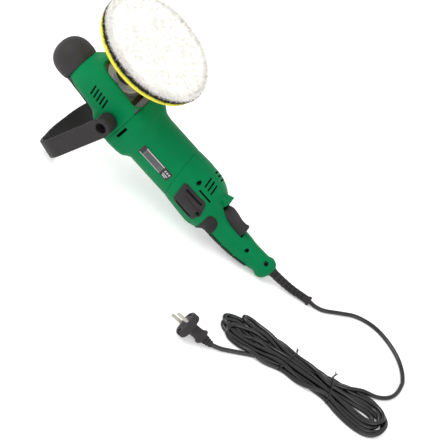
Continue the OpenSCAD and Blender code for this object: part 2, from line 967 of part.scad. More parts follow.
// Outline of the hank, with round ends
module hank_outline() {
    for (k = [0:len(hank_line) - 2]) hull() {
        translate(hank_line[k]) circle(r = hank_half[k], $fn = 32);
        translate(hank_line[k + 1]) circle(r = hank_half[k + 1], $fn = 32);
    }
}

module cord_hank() {
    color("black") linear_extrude(hank_h) hank_outline();
}

module hank_ties() {
    color("black")
    for (p = ties) translate([p[0], p[1], 0])
        difference() {
            block([-1.5, -22, 0], [1.5, 22, hank_h + 1.5]);
            block([-3, -20.4, -1], [3, 20.4, hank_h]);
        }
}

// Plug's own frame: +X from the face back to the lead
module at_plug() {
    translate(plug_face) rotate([0, 0, plug_turn]) rotate([0, plug_drop, 0]) rotate([plug_roll, 0, 0])
        children();
}

module plug_body() {
    color("dimgray")
    at_plug() {
        difference() {
            intersection() {
                along_x([0, 13], 18.5);
                block([0, -20, -13], [13, 20, 13]);
            }
            both_sides() block([-1, 12.5, -5], [9, 15.5, 5]);
        }
        block([12.9, -8, -7], [30, 8, 7]);
        block([29.9, -9.5, -8], [34, 9.5, 8]);
        for (i = [0:3]) along_x([34 + 4 * i, 36.6 + 4 * i], 7 - 0.7 * i);
        along_x([33, 51], 4);
    }
}

module plug_pins() {
    color("silver")
    at_plug() for (z = [-9.5, 9.5]) along_x([-19, 0], 2.4, 0, z);
}

tool() head_cover();
tool() gear_case();
tool() gear_plate();
tool() bearing_box();
tool() bearing_retainer();
tool() retainer_screws();
tool() case_screws();
tool() ball_bearing();
tool() needle_bearing();
tool() countershaft_bearings();
tool() armature_bearings();
tool() nose_grip();
tool() spindle();
tool() bevel_gear();
tool() backing_hub();
tool() backing_pad();
tool() loop_layer();
tool() wool_pad();
tool() countershaft();
tool() first_gear();
tool() armature_shaft();
tool() armature_core();
tool() armature_windings();
tool() commutator();
tool() cooling_fan();
tool() motor_housing();
tool() fan_baffle();
tool() stator_core();
tool() field_coils();
tool() bearing_bracket();
tool() brush_holders();
tool() carbon_brushes();
tool() rear_housing_right();
tool() rear_housing_left();
tool() rear_screws();
tool() vent_cover_right();
tool() vent_cover_left();
tool() rating_label();
tool() soft_grip();
tool() trigger();
tool() trigger_pin();
tool() switch_body();
tool() lock_button();
tool() speed_dial();
tool() speed_module();
tool() spindle_lock();
tool() loop_handle();
tool() handle_bolts();
tool() cord_clamp();
cord_guard();
power_cord();
cord_hank();
hank_ties();
plug_lead();
plug_body();
plug_pins();
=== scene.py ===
"""Rotary polisher lying on its back, with its lead tied in a hank beside it.

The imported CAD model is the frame. Shells, grips, bonnet, handle, label, lead and plug are built here
as finer pieces in the same places; the parts inside keep their CAD shape and get a better finish.
Points marked "tool" are in the tool's own frame in millimetres: the origin is where the spindle axis
meets the motor axis, +X goes to the tail and +Z to the bonnet. Points marked "row" are on the floor.
"""
import json
import math

import bmesh
import bpy
import numpy as np
from mathutils import Matrix, Vector


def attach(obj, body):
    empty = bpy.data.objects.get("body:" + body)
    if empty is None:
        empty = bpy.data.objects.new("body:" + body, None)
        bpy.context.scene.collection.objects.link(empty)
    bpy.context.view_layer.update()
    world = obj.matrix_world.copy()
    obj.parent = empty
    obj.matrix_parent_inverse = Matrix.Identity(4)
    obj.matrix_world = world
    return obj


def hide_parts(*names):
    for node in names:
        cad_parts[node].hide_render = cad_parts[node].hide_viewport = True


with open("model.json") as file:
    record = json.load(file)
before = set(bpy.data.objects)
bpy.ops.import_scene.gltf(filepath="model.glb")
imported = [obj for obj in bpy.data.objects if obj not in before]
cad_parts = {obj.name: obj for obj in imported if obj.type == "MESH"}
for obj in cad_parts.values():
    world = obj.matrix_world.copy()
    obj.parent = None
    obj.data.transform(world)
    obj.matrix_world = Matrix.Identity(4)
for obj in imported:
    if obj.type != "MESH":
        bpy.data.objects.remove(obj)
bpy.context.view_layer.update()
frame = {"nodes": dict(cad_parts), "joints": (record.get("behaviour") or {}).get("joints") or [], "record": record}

MM = 0.001
rng = np.random.default_rng(7)

# The tool's frame, from the spindle joint
spindle_joint = next(j for j in frame["joints"] if j["name"] == "spindle_spin")
TOOL_ORIGIN = np.array(spindle_joint["pos_m"], float)
TOOL_Z = np.array(spindle_joint["axis"], float) / np.linalg.norm(spindle_joint["axis"])
TOOL_Y = np.array([0.0, 1.0, 0.0])
TOOL_X = np.cross(TOOL_Y, TOOL_Z)
TOOL = np.stack([TOOL_X, TOOL_Y, TOOL_Z]) * MM

# Driving dimensions, tool mm
WALL = 2.8
TUBE_R = 40.2
PAD_R = 87.0
PAD_FACE = 125.0
PIVOT_X = 31.0
RIM_Z = 46.0
SEAM_X = 158.0
STRAP_W, STRAP_T = 29.0, 4.6
LOOP_HALF, LOOP_REACH, LOOP_TILT = 68.0, 138.5, 14.0
CORD_D = 6.6
AROUND = 128

# Shell sections: x, half width, centre z, reach to the top, reach to the pad side, roundness of both, slant
HEAD = [
    [-53, 27, 0, 32, 23, 2, 2.2, 0], [-46, 30, 0, 30, 30, 2, 2.6, 0], [-38, 33.5, 0, 28.5, 42, 2, 3.5, 0],
    [-28, 36, 0, 27.5, 49, 2, 5, 0], [-12, 38, 0, 29, 51, 2, 6, 0], [3, 39.3, 0, 31, 51, 2.1, 6, 0],
    [17, 40.8, 0, 37, 51, 3.2, 6, 0], [32, 41.8, 0, 40.5, 51, 3.4, 6, 0],
    [42, 43.2, 0, 43.2, 50, 3.6, 5, 0], [49, 43.8, 0, 43.8, 45, 3.6, 3.6, 0]]
MOTOR = [
    [49, 43.8, 0, 43.8, 45, 3.6, 3.6, 0], [64, 43.6, 0, 43.6, 43.6, 3.4, 3.4, -0.05],
    [75, 42.8, 0, 42.8, 42.8, 3, 3, -0.14], [84, 40.8, 0, 40.8, 40.8, 2.2, 2.2, -0.14],
    [92, TUBE_R, 0, TUBE_R, TUBE_R, 2, 2, 0], [140, TUBE_R, 0, TUBE_R, TUBE_R, 2, 2, 0],
    [SEAM_X, TUBE_R, 0, TUBE_R, TUBE_R, 2, 2, -0.25]]
REAR = [
    [SEAM_X + 0.2, TUBE_R, 0, TUBE_R, TUBE_R, 2, 2, -0.25], [176, 41.6, 0, 41.6, 41.4, 2, 2, -0.1],
    [198, 42.2, -1, 42, 41, 2, 2, 0], [213, 41.4, -3, 41, 38.5, 2, 2, 0], [226, 36, -5, 38, 34, 2, 2, 0],
    [233, 31, -5.5, 36.5, 29, 2, 2, 0], [241, 25, -8, 27, 27.5, 2, 2, 0], [252, 22.4, -10, 24.6, 24, 2, 2, 0],
    [268, 21, -11, 23.4, 22, 2, 2, 0], [295, 19.3, -10.2, 21.8, 21.8, 2, 2, 0],
    [312, 18, -9, 19.2, 19.2, 2, 2, 0], [329, 16.6, -6.2, 17.4, 17.2, 2, 2, 0],
    [338, 15.8, -4, 15.8, 15.8, 2, 2, 0], [346, 17.4, -3.8, 19, 19, 2, 2, 0],
    [352, 16, -3.6, 17.2, 17.4, 2, 2, 0], [356, 12.5, -2, 13.4, 13.4, 2, 2, 0],
    [358, 8.2, 0, 8.4, 8.4, 2, 2, 0]]
REAR_SCREWS = [[182, 31.5], [214, 5], [307, 3], [341, 10.5]]

# Lead on the floor, row mm: guard, run to the hank, and run from the hank to the plug
GUARD = [[204.2, 0, 22.5], [212.7, 0, 19.6], [222, 0.4, 16.5], [234, 1.2, 12.9], [246, 2.2, 9.8],
         [258, 3.2, 7.6], [273, 4.2, 6.4], [287.5, 5, 5.4]]
LEAD = [[287.7, 5, 5.4], [298, 4.5, 3.8], [313, 8, 3.4], [336, 23, 3.4], [360, 37, 3.4], [390, 40, 3.4],
        [418, 30, 3.4], [442, 12, 3.4], [458, -10, 3.4], [466, -35, 3.4], [466, -60, 3.4],
        [460, -80, 3.6]]
PLUG_RUN = [[262, -146, 3.4], [246, -156, 3.4], [232, -166, 3.4], [217, -176, 4.2], [202.4, -182.4, 6.1]]
PLUG_FACE = [154.7, -190, 21.8]
PLUG_DROP, PLUG_ROLL, PLUG_TURN = 18, 27, 9
TIES = [[304, -126], [374, -127]]
HANK_H = 19


# ---- Camera, light and floor ----

def make_camera():
    """Looks down at the tool from its right side, rolled so that the tool falls to the lower right."""
    eye = Vector((210.5, -1243.4, 1115.4)) * MM
    view = Vector((-0.0611, 0.7569, -0.6506)).normalized()
    level = view.cross(Vector((0, 0, 1))).normalized()
    roll = math.radians(30.45)
    right = level * math.cos(roll) + level.cross(view).normalized() * math.sin(roll)
    up = right.cross(view)
    data = bpy.data.cameras.new("camera")
    data.sensor_width = 36
    data.lens = 90.889
    camera = bpy.data.objects.new("camera", data)
    bpy.context.scene.collection.objects.link(camera)
    camera.matrix_world = Matrix((
        (right.x, up.x, -view.x, eye.x), (right.y, up.y, -view.y, eye.y),
        (right.z, up.z, -view.z, eye.z), (0, 0, 0, 1)))
    bpy.context.scene.camera = camera
    bpy.context.scene.view_settings.view_transform = "Standard"


def make_area(name, place, target, size, power):
    data = bpy.data.lights.new(name, "AREA")
    data.size = size
    data.energy = power
    light = bpy.data.objects.new(name, data)
    bpy.context.scene.collection.objects.link(light)
    light.location = place
    light.rotation_euler = (Vector(target) - Vector(place)).to_track_quat("-Z", "Y").to_euler()


def make_lights():
    world = bpy.data.worlds.new("studio")
    world.use_nodes = True
    world.node_tree.nodes["Background"].inputs["Color"].default_value = (1, 1, 1, 1)
    world.node_tree.nodes["Background"].inputs["Strength"].default_value = 0.95
    bpy.context.scene.world = world
    make_area("key", (-0.9, -0.5, 1.5), (0, 0, 0.1), 1.1, 19)
    make_area("fill", (1.3, -1.1, 1.0), (0.1, 0, 0.05), 1.2, 7)


def make_floor():
    half = 4.0
    mesh = bpy.data.meshes.new("floor")
    corners = [(-half, -half, 0), (half, -half, 0), (half, half, 0), (-half, half, 0)]
    mesh.from_pydata(corners, [], [(0, 1, 2, 3)])
    floor = bpy.data.objects.new("floor", mesh)
    bpy.context.scene.collection.objects.link(floor)
    material = bpy.data.materials.new("floor")
    material.use_nodes = True
    shader = material.node_tree.nodes["Principled BSDF"]
    shader.inputs["Base Color"].default_value = (0.97, 0.97, 0.97, 1)
    shader.inputs["Roughness"].default_value = 0.9
    # The floor glows faintly: painted light that washes out the shadows cast on it and lights the tool from below.
    shader.inputs["Emission Color"].default_value = (1, 1, 1, 1)
    shader.inputs["Emission Strength"].default_value = 0.2
    mesh.materials.append(material)


# ---- Materials ----

class Finish:
    """A material's node tree, with the few nodes that every finish here is built from."""

    def __init__(self, name, rough, metal=0.0):
        self.material = bpy.data.materials.new(name)
        self.material.use_nodes = True
        self.tree = self.material.node_tree
        self.shader = self.tree.nodes["Principled BSDF"]
        self.shader.inputs["Roughness"].default_value = rough
        self.shader.inputs["Metallic"].default_value = metal
        self.place = self.tree.nodes.new("ShaderNodeTexCoord").outputs["Object"]
        self.normal = None

    def node(self, kind, **values):
        made = self.tree.nodes.new(kind)
        for key, value in values.items():
            made.inputs[key].default_value = value
        return made

    def noise(self, scale, detail=2.0, stretch=None):
        made = self.node("ShaderNodeTexNoise", Scale=scale, Detail=detail)
        source = self.place
        if stretch is not None:
            turn = self.node("ShaderNodeMapping", Scale=stretch)
            self.tree.links.new(self.place, turn.inputs["Vector"])
            source = turn.outputs["Vector"]
        self.tree.links.new(source, made.inputs["Vector"])
        return made.outputs["Fac"]

    def ramp(self, source, stops):
        made = self.tree.nodes.new("ShaderNodeValToRGB")
        for end in (0, -1):
            position, colour = stops[end]
            made.color_ramp.elements[end].position = position
            made.color_ramp.elements[end].color = (*colour, 1)
        for position, colour in stops[1:-1]:
            made.color_ramp.elements.new(position).color = (*colour, 1)
        self.tree.links.new(source, made.inputs["Fac"])
        return made.outputs["Color"]

    def mottle(self, colour, spread, scale, detail=3.0, stretch=None):
        """Base colour that wanders a little to both sides of colour."""
        low = [max(c * (1 - spread), 0) for c in colour]
        high = [min(c * (1 + spread), 1) for c in colour]
        mixed = self.ramp(self.noise(scale, detail, stretch), [(0.3, low), (0.7, high)])
        self.tree.links.new(mixed, self.shader.inputs["Base Color"])

    def rough_patches(self, low, high, scale, stretch=None):
        grey = self.ramp(self.noise(scale, 3.0, stretch), [(0.3, [low] * 3), (0.7, [high] * 3)])
        self.tree.links.new(grey, self.shader.inputs["Roughness"])

    def soft_edges(self, radius):
        edge = self.node("ShaderNodeBevel", Radius=radius * MM)
        edge.samples = 4
        self.normal = edge.outputs["Normal"]

    def bump(self, scale, depth, detail=2.0, stretch=None, strength=1.0):
        made = self.node("ShaderNodeBump", Strength=strength, Distance=depth * MM)
        self.tree.links.new(self.noise(scale, detail, stretch), made.inputs["Height"])
        if self.normal is not None:
            self.tree.links.new(self.normal, made.inputs["Normal"])
        self.normal = made.outputs["Normal"]

    def done(self):
        if self.normal is not None:
            self.tree.links.new(self.normal, self.shader.inputs["Normal"])
        return self.material


def moulded(name, colour, rough, grain, depth, edge=0.5, spread=0.06, shine=0.3):
    """Moulded plastic or rubber: fine grain, slow colour drift, rounded edges."""
    finish = Finish(name, rough)
    finish.shader.inputs["Specular IOR Level"].default_value = shine
    finish.mottle(colour, spread, 25)
    finish.rough_patches(rough - 0.05, rough + 0.07, 60)
    finish.soft_edges(edge)
    finish.bump(grain, depth)
    return finish.done()


def metal(name, colour, rough, stretch=None, edge=0.35, depth=0.02, shine=1.0):
    """Metal with tool marks along one direction, or with a cast skin when stretch is None."""
    finish = Finish(name, rough, shine)
    finish.mottle(colour, 0.08, 180)
    finish.rough_patches(rough - 0.06, rough + 0.1, 500, stretch)
    finish.soft_edges(edge)
    finish.bump(900, depth, 3.0, stretch)
    return finish.done()


def cloth_black(name):
    finish = Finish(name, 0.95)
    finish.mottle([0.018, 0.017, 0.017], 0.5, 900)
    finish.bump(1400, 0.3, 4.0)
    return finish.done()


def wool_skin(name):
    """Off-white wool: faint warm drift, soft tufts, a little sheen."""
    finish = Finish(name, 0.95)
    finish.mottle([0.86, 0.845, 0.81], 0.03, 45, 4.0)
    finish.shader.inputs["Sheen Weight"].default_value = 0.3
    finish.shader.inputs["Sheen Roughness"].default_value = 0.6
    finish.bump(700, 0.2, 4.0)
    return finish.done()


def make_materials():
    brushed = (1, 12, 12)
    return {
        "green_shell": moulded("green_shell", [0.0, 0.158, 0.052], 0.48, 1500, 0.012, 0.6, 0.05, 0.06),
        "dark_rubber": moulded("dark_rubber", [0.026, 0.024, 0.025], 0.6, 1300, 0.07, 0.7, 0.12, 0.2),
        "grip_rubber": moulded("grip_rubber", [0.016, 0.015, 0.015], 0.6, 1300, 0.05, 0.5, 0.12, 0.15),
        "dark_plastic": moulded("dark_plastic", [0.020, 0.018, 0.019], 0.5, 1500, 0.03, 0.6, 0.1, 0.2),
        "cast_aluminium": metal("cast_aluminium", [0.115, 0.11, 0.145], 0.5, None, 0.5, 0.05, 0.35),
        "bright_steel": metal("bright_steel", [0.72, 0.72, 0.72], 0.2, brushed),
        "seat_steel": metal("seat_steel", [0.33, 0.33, 0.42], 0.3, brushed, 0.35, 0.02, 0.5),
        "pin_steel": metal("pin_steel", [0.42, 0.40, 0.35], 0.35, brushed, 0.35, 0.02, 0.7),
        "dark_steel": metal("dark_steel", [0.13, 0.13, 0.14], 0.38, brushed),
        "core_steel": metal("core_steel", [0.35, 0.35, 0.36], 0.4, (60, 1, 1)),
        "copper": metal("copper", [0.62, 0.31, 0.14], 0.35, (1, 30, 30)),
        # carbon: plain black for black parts, and also painted shade inside the screw holes and behind the vent
        # slots.
        "carbon": moulded("carbon", [0.006, 0.006, 0.006], 0.7, 900, 0.04, 0.5, 0.2, 0.1),
        "label": moulded("label", [0.022, 0.02, 0.022], 0.4, 1500, 0.005, 0.1),
        "label_grey": moulded("label_grey", [0.10, 0.105, 0.11], 0.38, 1500, 0.005, 0.1, 0.12),
        "label_pale": moulded("label_pale", [0.42, 0.43, 0.43], 0.35, 1500, 0.005, 0.1),
        "circuit": moulded("circuit", [0.05, 0.2, 0.1], 0.5, 800, 0.05),
        "lock_red": moulded("lock_red", [0.05, 0.05, 0.05], 0.45, 900, 0.03),
        "yellow_foam": moulded("yellow_foam", [0.66, 0.61, 0.03], 0.5, 1200, 0.04, 0.6, 0.05),
        "black_loop": cloth_black("black_loop"),
        "wool": wool_skin("wool"),
        "cord_rubber": moulded("cord_rubber", [0.006, 0.006, 0.0065], 0.2, 700, 0.02, 0.2, 0.2, 0.5),
        "tie_wire": moulded("tie_wire", [0.012, 0.012, 0.012], 0.35, 700, 0.02, 0.2),
    }


# ---- Mesh helpers, all in tool mm or row mm until a piece is placed ----

def raw(verts, faces):
    mesh = bpy.data.meshes.new("part")
    mesh.from_pydata([tuple(map(float, v)) for v in verts], [], faces)
    obj = bpy.data.objects.new("part", mesh)
    bpy.context.scene.collection.objects.link(obj)
    return obj


def bake(obj):
    """Applies every modifier of obj."""
    graph = bpy.context.evaluated_depsgraph_get()
    mesh = bpy.data.meshes.new_from_object(obj.evaluated_get(graph))
    obj.modifiers.clear()
    old, obj.data = obj.data, mesh
    bpy.data.meshes.remove(old)
    return obj


def mixed(kind, obj, others):
    """Boolean of obj with the other solids, which are used up."""
    for other in others:
        made = obj.modifiers.new("mix", "BOOLEAN")
        made.operation, made.solver, made.object = kind, "MANIFOLD", other
    bake(obj)
    for other in others:
        bpy.data.objects.remove(other)
    return obj


def cut(obj, *others):
    return mixed("DIFFERENCE", obj, others)


def keep(obj, *others):
    return mixed("INTERSECT", obj, others)


def fuse(obj, *others):
    return mixed("UNION", obj, others)


def rounded(obj, width, segments=3, angle=40):
    made = obj.modifiers.new("round", "BEVEL")
    made.width, made.segments, made.limit_method = width, segments, "ANGLE"
    made.angle_limit = math.radians(angle)
    return bake(obj)


def prism(outline, axis, low, high):
    """Solid on a flat outline. axis is the letter that it is extruded along."""
    put = {"x": lambda a, b, t: (t, a, b),
           "y": lambda a, b, t: (a, t, b),
           "z": lambda a, b, t: (a, b, t)}[axis]
    n = len(outline)
    verts = [put(a, b, low) for a, b in outline] + [put(a, b, high) for a, b in outline]
    faces = [tuple(range(n)), tuple(range(2 * n - 1, n - 1, -1))]
    faces += [((i + 1) % n, i, n + i, n + (i + 1) % n) for i in range(n)]
    obj = raw(verts, faces)
    outward(obj)
    return obj


def outward(obj):
    work = bmesh.new()
    work.from_mesh(obj.data)
    bmesh.ops.recalc_face_normals(work, faces=work.faces)
    work.to_mesh(obj.data)
    work.free()
    return obj


def block(low, high):
    """Box between two opposite corners."""
    (x0, y0, z0), (x1, y1, z1) = low, high
    return prism([(x0, y0), (x1, y0), (x1, y1), (x0, y1)], "z", z0, z1)


def full_turn(sides):
    """Angles of a full turn."""
    return np.linspace(0, 2 * math.pi, sides, endpoint=False)


def circle(r, sides=48, a=0.0, b=0.0):
    return [(a + r * math.cos(t), b + r * math.sin(t)) for t in full_turn(sides)]


def flank_span(side, near, far):
    """The reach from near to far of the middle plane, on one side of the tool, as low and high Y."""
    return sorted((side * near, side * far))


def turned(obj, axis, degrees, about=(0, 0, 0)):
    pivot = Matrix.Translation(about)
    obj.data.transform(pivot @ Matrix.Rotation(math.radians(degrees), 4, axis) @ pivot.inverted())
    return obj


def moved(obj, by):
    obj.data.transform(Matrix.Translation(by))
    return obj


def joined(*objs):
    work = bmesh.new()
    for obj in objs:
        work.from_mesh(obj.data)
    work.to_mesh(objs[0].data)
    work.free()
    for obj in objs[1:]:
        bpy.data.objects.remove(obj)
    return objs[0]


def round_corners(points, radius, steps=5):
    """Flat outline with each corner replaced by an arc-like curve of that reach."""
    out = []
    n = len(points)
    for i in range(n):
        here = np.array(points[i], float)
        back = np.array(points[i - 1], float) - here
        ahead = np.array(points[(i + 1) % n], float) - here
        reach = min(radius, np.linalg.norm(back) * 0.45, np.linalg.norm(ahead) * 0.45)
        a = here + back / np.linalg.norm(back) * reach
        b = here + ahead / np.linalg.norm(ahead) * reach
        for t in np.linspace(0, 1, steps):
            out.append(tuple((1 - t) ** 2 * a + 2 * t * (1 - t) * here + t ** 2 * b))
    return out


def slot_outline(length, width, sides=8):
    half, r = length / 2 - width / 2, width / 2
    right = [(half + r * math.cos(t), r * math.sin(t)) for t in np.linspace(-math.pi / 2, math.pi / 2, sides)]
    return right + [(-x, -y) for x, y in right]


def lathe(profile, sides):
    """Closed solid turned about the spindle axis from [radius, z] points that start and end on it."""
    verts, faces, rings = [], [], []
    for r, z in profile:
        if r < 1e-6:
            rings.append([len(verts)])
            verts.append((0, 0, z))
        else:
            rings.append(list(range(len(verts), len(verts) + sides)))
            verts += [(x, y, z) for x, y in circle(r, sides)]
    for a, b in zip(rings, rings[1:]):
        for i in range(sides):
            j = (i + 1) % sides
            if len(a) == 1:
                faces.append((a[0], b[i], b[j]))
            elif len(b) == 1:
                faces.append((a[i], b[0], a[j]))
            else:
                faces.append((a[i], b[i], b[j], a[j]))
    return outward(raw(verts, faces))


def monotone(x, y, at):
    """Smooth curve through (x, y) that adds no bumps of its own."""
    h, d = np.diff(x), np.diff(y) / np.diff(x)
    m = np.zeros(len(x))
    m[0], m[-1] = d[0], d[-1]
    for i in range(1, len(x) - 1):
        if d[i - 1] * d[i] > 0:
            a, b = 2 * h[i] + h[i - 1], h[i] + 2 * h[i - 1]
            m[i] = (a + b) / (a / d[i - 1] + b / d[i])
    k = np.clip(np.searchsorted(x, at, side="right") - 1, 0, len(h) - 1)
    t = (at - x[k]) / h[k]
    return ((2 * t ** 3 - 3 * t ** 2 + 1) * y[k] + (t ** 3 - 2 * t ** 2 + t) * h[k] * m[k]
            + (3 * t ** 2 - 2 * t ** 3) * y[k + 1] + (t ** 3 - t ** 2) * h[k] * m[k + 1])


def stations(sections, step=2.2, low=None, high=None, extra=()):
    table = np.array(sections, float)
    start = table[0, 0] if low is None else low
    end = table[-1, 0] if high is None else high
    at = np.linspace(start, end, max(int((end - start) / step), 2) + 1)
    at = np.unique(np.concatenate([at, np.array(extra, float)]))
    return np.stack([monotone(table[:, 0], table[:, c], at) if c else at for c in range(8)], axis=1)


def ring(section, grow, around=AROUND):
    """One section's points, evenly spaced within each quarter: +Y, pad side, -Y, top."""
    x, half, middle, top, pad, n_top, n_pad, slant = section
    points = []
    for quarter in range(4):
        t = np.linspace(quarter * math.pi / 2, (quarter + 1) * math.pi / 2, 160)
        c, s = np.cos(t), np.sin(t)
        c[np.abs(c) < 1e-9], s[np.abs(s) < 1e-9] = 0, 0
        n, reach = (n_pad, pad) if quarter < 2 else (n_top, top)
        y = (half + grow) * np.sign(c) * np.abs(c) ** (2 / n)
        z = middle + (reach + grow) * np.sign(s) * np.abs(s) ** (2 / n)
        run = np.concatenate([[0], np.cumsum(np.hypot(np.diff(y), np.diff(z)))])
        wanted = np.linspace(0, run[-1], around // 4, endpoint=False)
        y, z = np.interp(wanted, run, y), np.interp(wanted, run, z)
        points += list(zip(x + slant * z, y, z))
    return np.array(points)


def band(n, a, b):
    """Quads between two rings of n points, whose first points are vertices a and b."""
    return [(a + i, a + (i + 1) % n, b + (i + 1) % n, b + i) for i in range(n)]


def lofted(rings):
    """Solid with a skin through closed rings of the same count, capped at both ends."""
    n = len(rings[0])
    faces = [quad for k in range(len(rings) - 1) for quad in band(n, k * n, (k + 1) * n)]
    faces += [tuple(range(n - 1, -1, -1)), tuple((len(rings) - 1) * n + i for i in range(n))]
    return outward(raw(np.concatenate(rings), faces))


def round_bar(profile, sides, middle=0):
    """Closed solid turned about a line along X, from [x, radius] points. middle is the line's Z."""
    return lofted([ring([x, r, middle, r, r, 2, 2, 0], 0, sides) for x, r in profile])


def solid_loft(sections, grow):
    return lofted([ring(s, grow) for s in sections])


def tube_shell(sections, grow, wall, chamfer, closed_start=False):
    """Hollow shell: outer skin with chamfered ends, inner skin, and rims or a cap that join them."""
    outer = [ring(s, grow) for s in sections]
    outer[0], outer[-1] = ring(sections[0], grow - chamfer), ring(sections[-1], grow - chamfer)
    inner = [ring(s, grow - wall) for s in sections]
    if closed_start:
        inner = [r for r, s in zip(inner, sections) if s[0] >= sections[0][0] + wall]
    n = len(outer[0])
    verts = np.concatenate(outer + inner)
    base = len(outer) * n
    faces = []
    for first, count in ((0, len(outer)), (base, len(inner))):
        for k in range(count - 1):
            faces += band(n, first + k * n, first + (k + 1) * n)
    last_out, last_in = (len(outer) - 1) * n, base + (len(inner) - 1) * n
    if closed_start:
        faces += [tuple(range(n)), tuple(base + i for i in range(n))]
    else:
        faces += band(n, 0, base)
    faces += band(n, last_out, last_in)
    return outward(raw(verts, faces))


def swept(points, outline):
    """Outline [(side, up), ...], or a function of the share of the way, carried along a path."""
    points = np.array(points, float)
    n = len(points)
    rings = []
    for k in range(n):
        ahead, behind = points[min(k + 1, n - 1)], points[max(k - 1, 0)]
        along = (ahead - behind) / np.linalg.norm(ahead - behind)
        side = np.cross((0, 0, 1), along)
        side /= np.linalg.norm(side)
        top = np.cross(along, side)
        shape = outline(k / (n - 1)) if callable(outline) else outline
        rings.append(np.array([points[k] + a * side + b * top for a, b in shape]))
    return lofted(rings)


def smooth_route(route, steps=6):
    """Catmull-Rom curve through route points."""
    p = np.array(route, float)
    p = np.concatenate([[2 * p[0] - p[1]], p, [2 * p[-1] - p[-2]]])
    out = []
    for k in range(1, len(p) - 2):
        for t in np.linspace(0, 1, steps, endpoint=False):
            out.append(0.5 * (2 * p[k] + (p[k + 1] - p[k - 1]) * t
                              + (2 * p[k - 1] - 5 * p[k] + 4 * p[k + 1] - p[k + 2]) * t * t
                              + (3 * p[k] - p[k - 1] - 3 * p[k + 1] + p[k + 2]) * t ** 3))
    out.append(p[-2])
    return np.array(out)


def resampled(points, step):
    points = np.array(points, float)
    run = np.concatenate([[0], np.cumsum(np.linalg.norm(np.diff(points, axis=0), axis=1))])
    at = np.linspace(0, run[-1], max(int(round(run[-1] / step)), 2) + 1)
    return np.stack([np.interp(at, run, points[:, c]) for c in range(3)], axis=1)


# ---- Placing a finished piece ----

def tool_matrix():
    """From tool millimetres to row metres."""
    turn = np.eye(4)
    turn[:3, :3], turn[:3, 3] = TOOL.T, TOOL_ORIGIN
    return Matrix(turn.tolist())


def placed(obj, name, slot, body, nodes=(), space="tool", sharp=35, material=None):
    """Moves a piece to its place in metres, shades it, ties it to its body, and hides the CAD nodes that it stands
    in for.
    """
    obj.name = obj.data.name = name
    obj.data.transform(tool_matrix() if space == "tool" else Matrix.Scale(MM, 4))
    obj.data.update()
    obj.data.polygons.foreach_set("use_smooth", [True] * len(obj.data.polygons))
    if sharp:
        obj.data.set_sharp_from_angle(angle=math.radians(sharp))
    obj.data.materials.clear()
    obj.data.materials.append(FINISH[material or slot])
    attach(obj, body)
    if nodes:
        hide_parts(*nodes)
    return obj


make_camera()
make_lights()
make_floor()
FINISH = make_materials()


# ---- Lead, hank, ties and plug ----

# The lead is taken to run the hank's length eleven times. One entry per run: its place across and above
# the floor at the right fan, at each tie and at the left fan, in cord diameters from the middle line.
RUNS = [
    # right fan      tie 2         tie 1         left fan
    [(3.6, 2.2), (1.3, 2.0), (0.6, 2.0), (3.3, 1.6)],
    [(2.5, 1.4), (2.2, 1.0), (1.6, 1.1), (1.6, 2.0)],
    [(-2.4, 1.6), (-0.4, 2.0), (-0.5, 2.0), (-1.6, 1.5)],
    [(1.6, 1.2), (0.4, 2.0), (1.4, 2.0), (2.2, 1.2)],
    [(-3.4, 0.2), (-1.4, 1.0), (-2.5, 0.0), (-3.6, 0.2)],
    [(3.2, 0.6), (2.5, 0.0), (2.5, 0.0), (0.4, 0.9)],
    [(-4.4, 0.0), (-2.5, 0.0), (-1.4, 1.0), (-2.7, 0.9)],
    [(0.6, 0.6), (0.5, 1.0), (0.4, 1.0), (1.1, 0.4)],
    [(-1.2, 0.3), (-0.5, 0.0), (0.5, 0.0), (-0.6, 0.6)],
    [(2.0, 0.0), (1.4, 0.0), (-0.6, 0.0), (-0.2, 0.0)],
    [(-3.0, 1.0), (-1.4, 0.0), (-1.6, 0.0), (-3.4, 0.0)],
]
LEFT_TIPS = [(209, 13), (183, 10), (196, 12), (187, 5), (199, 4)]
RIGHT_TIPS = [(466, 13), (473, 6), (470, 9), (459, 3.4), (464, 11)]
HANK_MIDDLE = [(182, -126), (222, -124), (254, -122), (304, -126), (374, -127), (422, -124), (478, -124)]
RIGHT_FAN_X, LEFT_FAN_X = 430, 236
TURN_HALF = 13

# Settling the lead: the slack within which runs look for each other, the points along the lead that never
# push each other, the room at each side of a tie, and how far a tie reaches along the hank
SLACK, NEIGHBOURS = 4, 5
TIE_HALF, TIE_REACH = 20, 5


def across(x):
    """The hank's middle line: its Y at x."""
    return float(np.interp(x, *zip(*HANK_MIDDLE)))


def run_point(x, place):
    side, up = place
    spread = 1.5 if x > 400 else 1.35 if x < 260 else 1.0
    return (x, across(x) + side * spread * CORD_D, CORD_D / 2 + up * CORD_D * 0.9)


def hank_guess():
    """First guess of the lead's middle line through the hank, turn by turn."""
    line = []
    for k, (right, tie2, tie1, left) in enumerate(RUNS):
        way = [run_point(RIGHT_FAN_X, right), run_point(TIES[1][0], tie2),
               run_point(TIES[0][0], tie1), run_point(LEFT_FAN_X, left)]
        leftward = k % 2 == 0
        if k + 1 == len(RUNS):
            way = way[:-1]  # the last run leaves for the plug before the left fan
        line += way if leftward else way[::-1]
        if k + 1 < len(RUNS):
            tips = LEFT_TIPS if leftward else RIGHT_TIPS
            tip_x, tip_z = tips[k // 2]
            here = np.array(line[-1])
            after = RUNS[k + 1]
            fan = (LEFT_FAN_X, after[3]) if leftward else (RIGHT_FAN_X, after[0])
            there = np.array(run_point(*fan))
            middle = (here + there) / 2
            half = max(abs(here[1] - there[1]) / 2, TURN_HALF)
            sign = 1 if here[1] > there[1] else -1
            reach = tip_x - here[0]
            for t in np.linspace(20, 160, 7):
                a = math.radians(t)
                line.append((here[0] + reach * math.sin(a), middle[1] + sign * half * math.cos(a),
                             here[2] + (there[2] - here[2]) * t / 180 + (tip_z - middle[2]) * math.sin(a)))
    return line


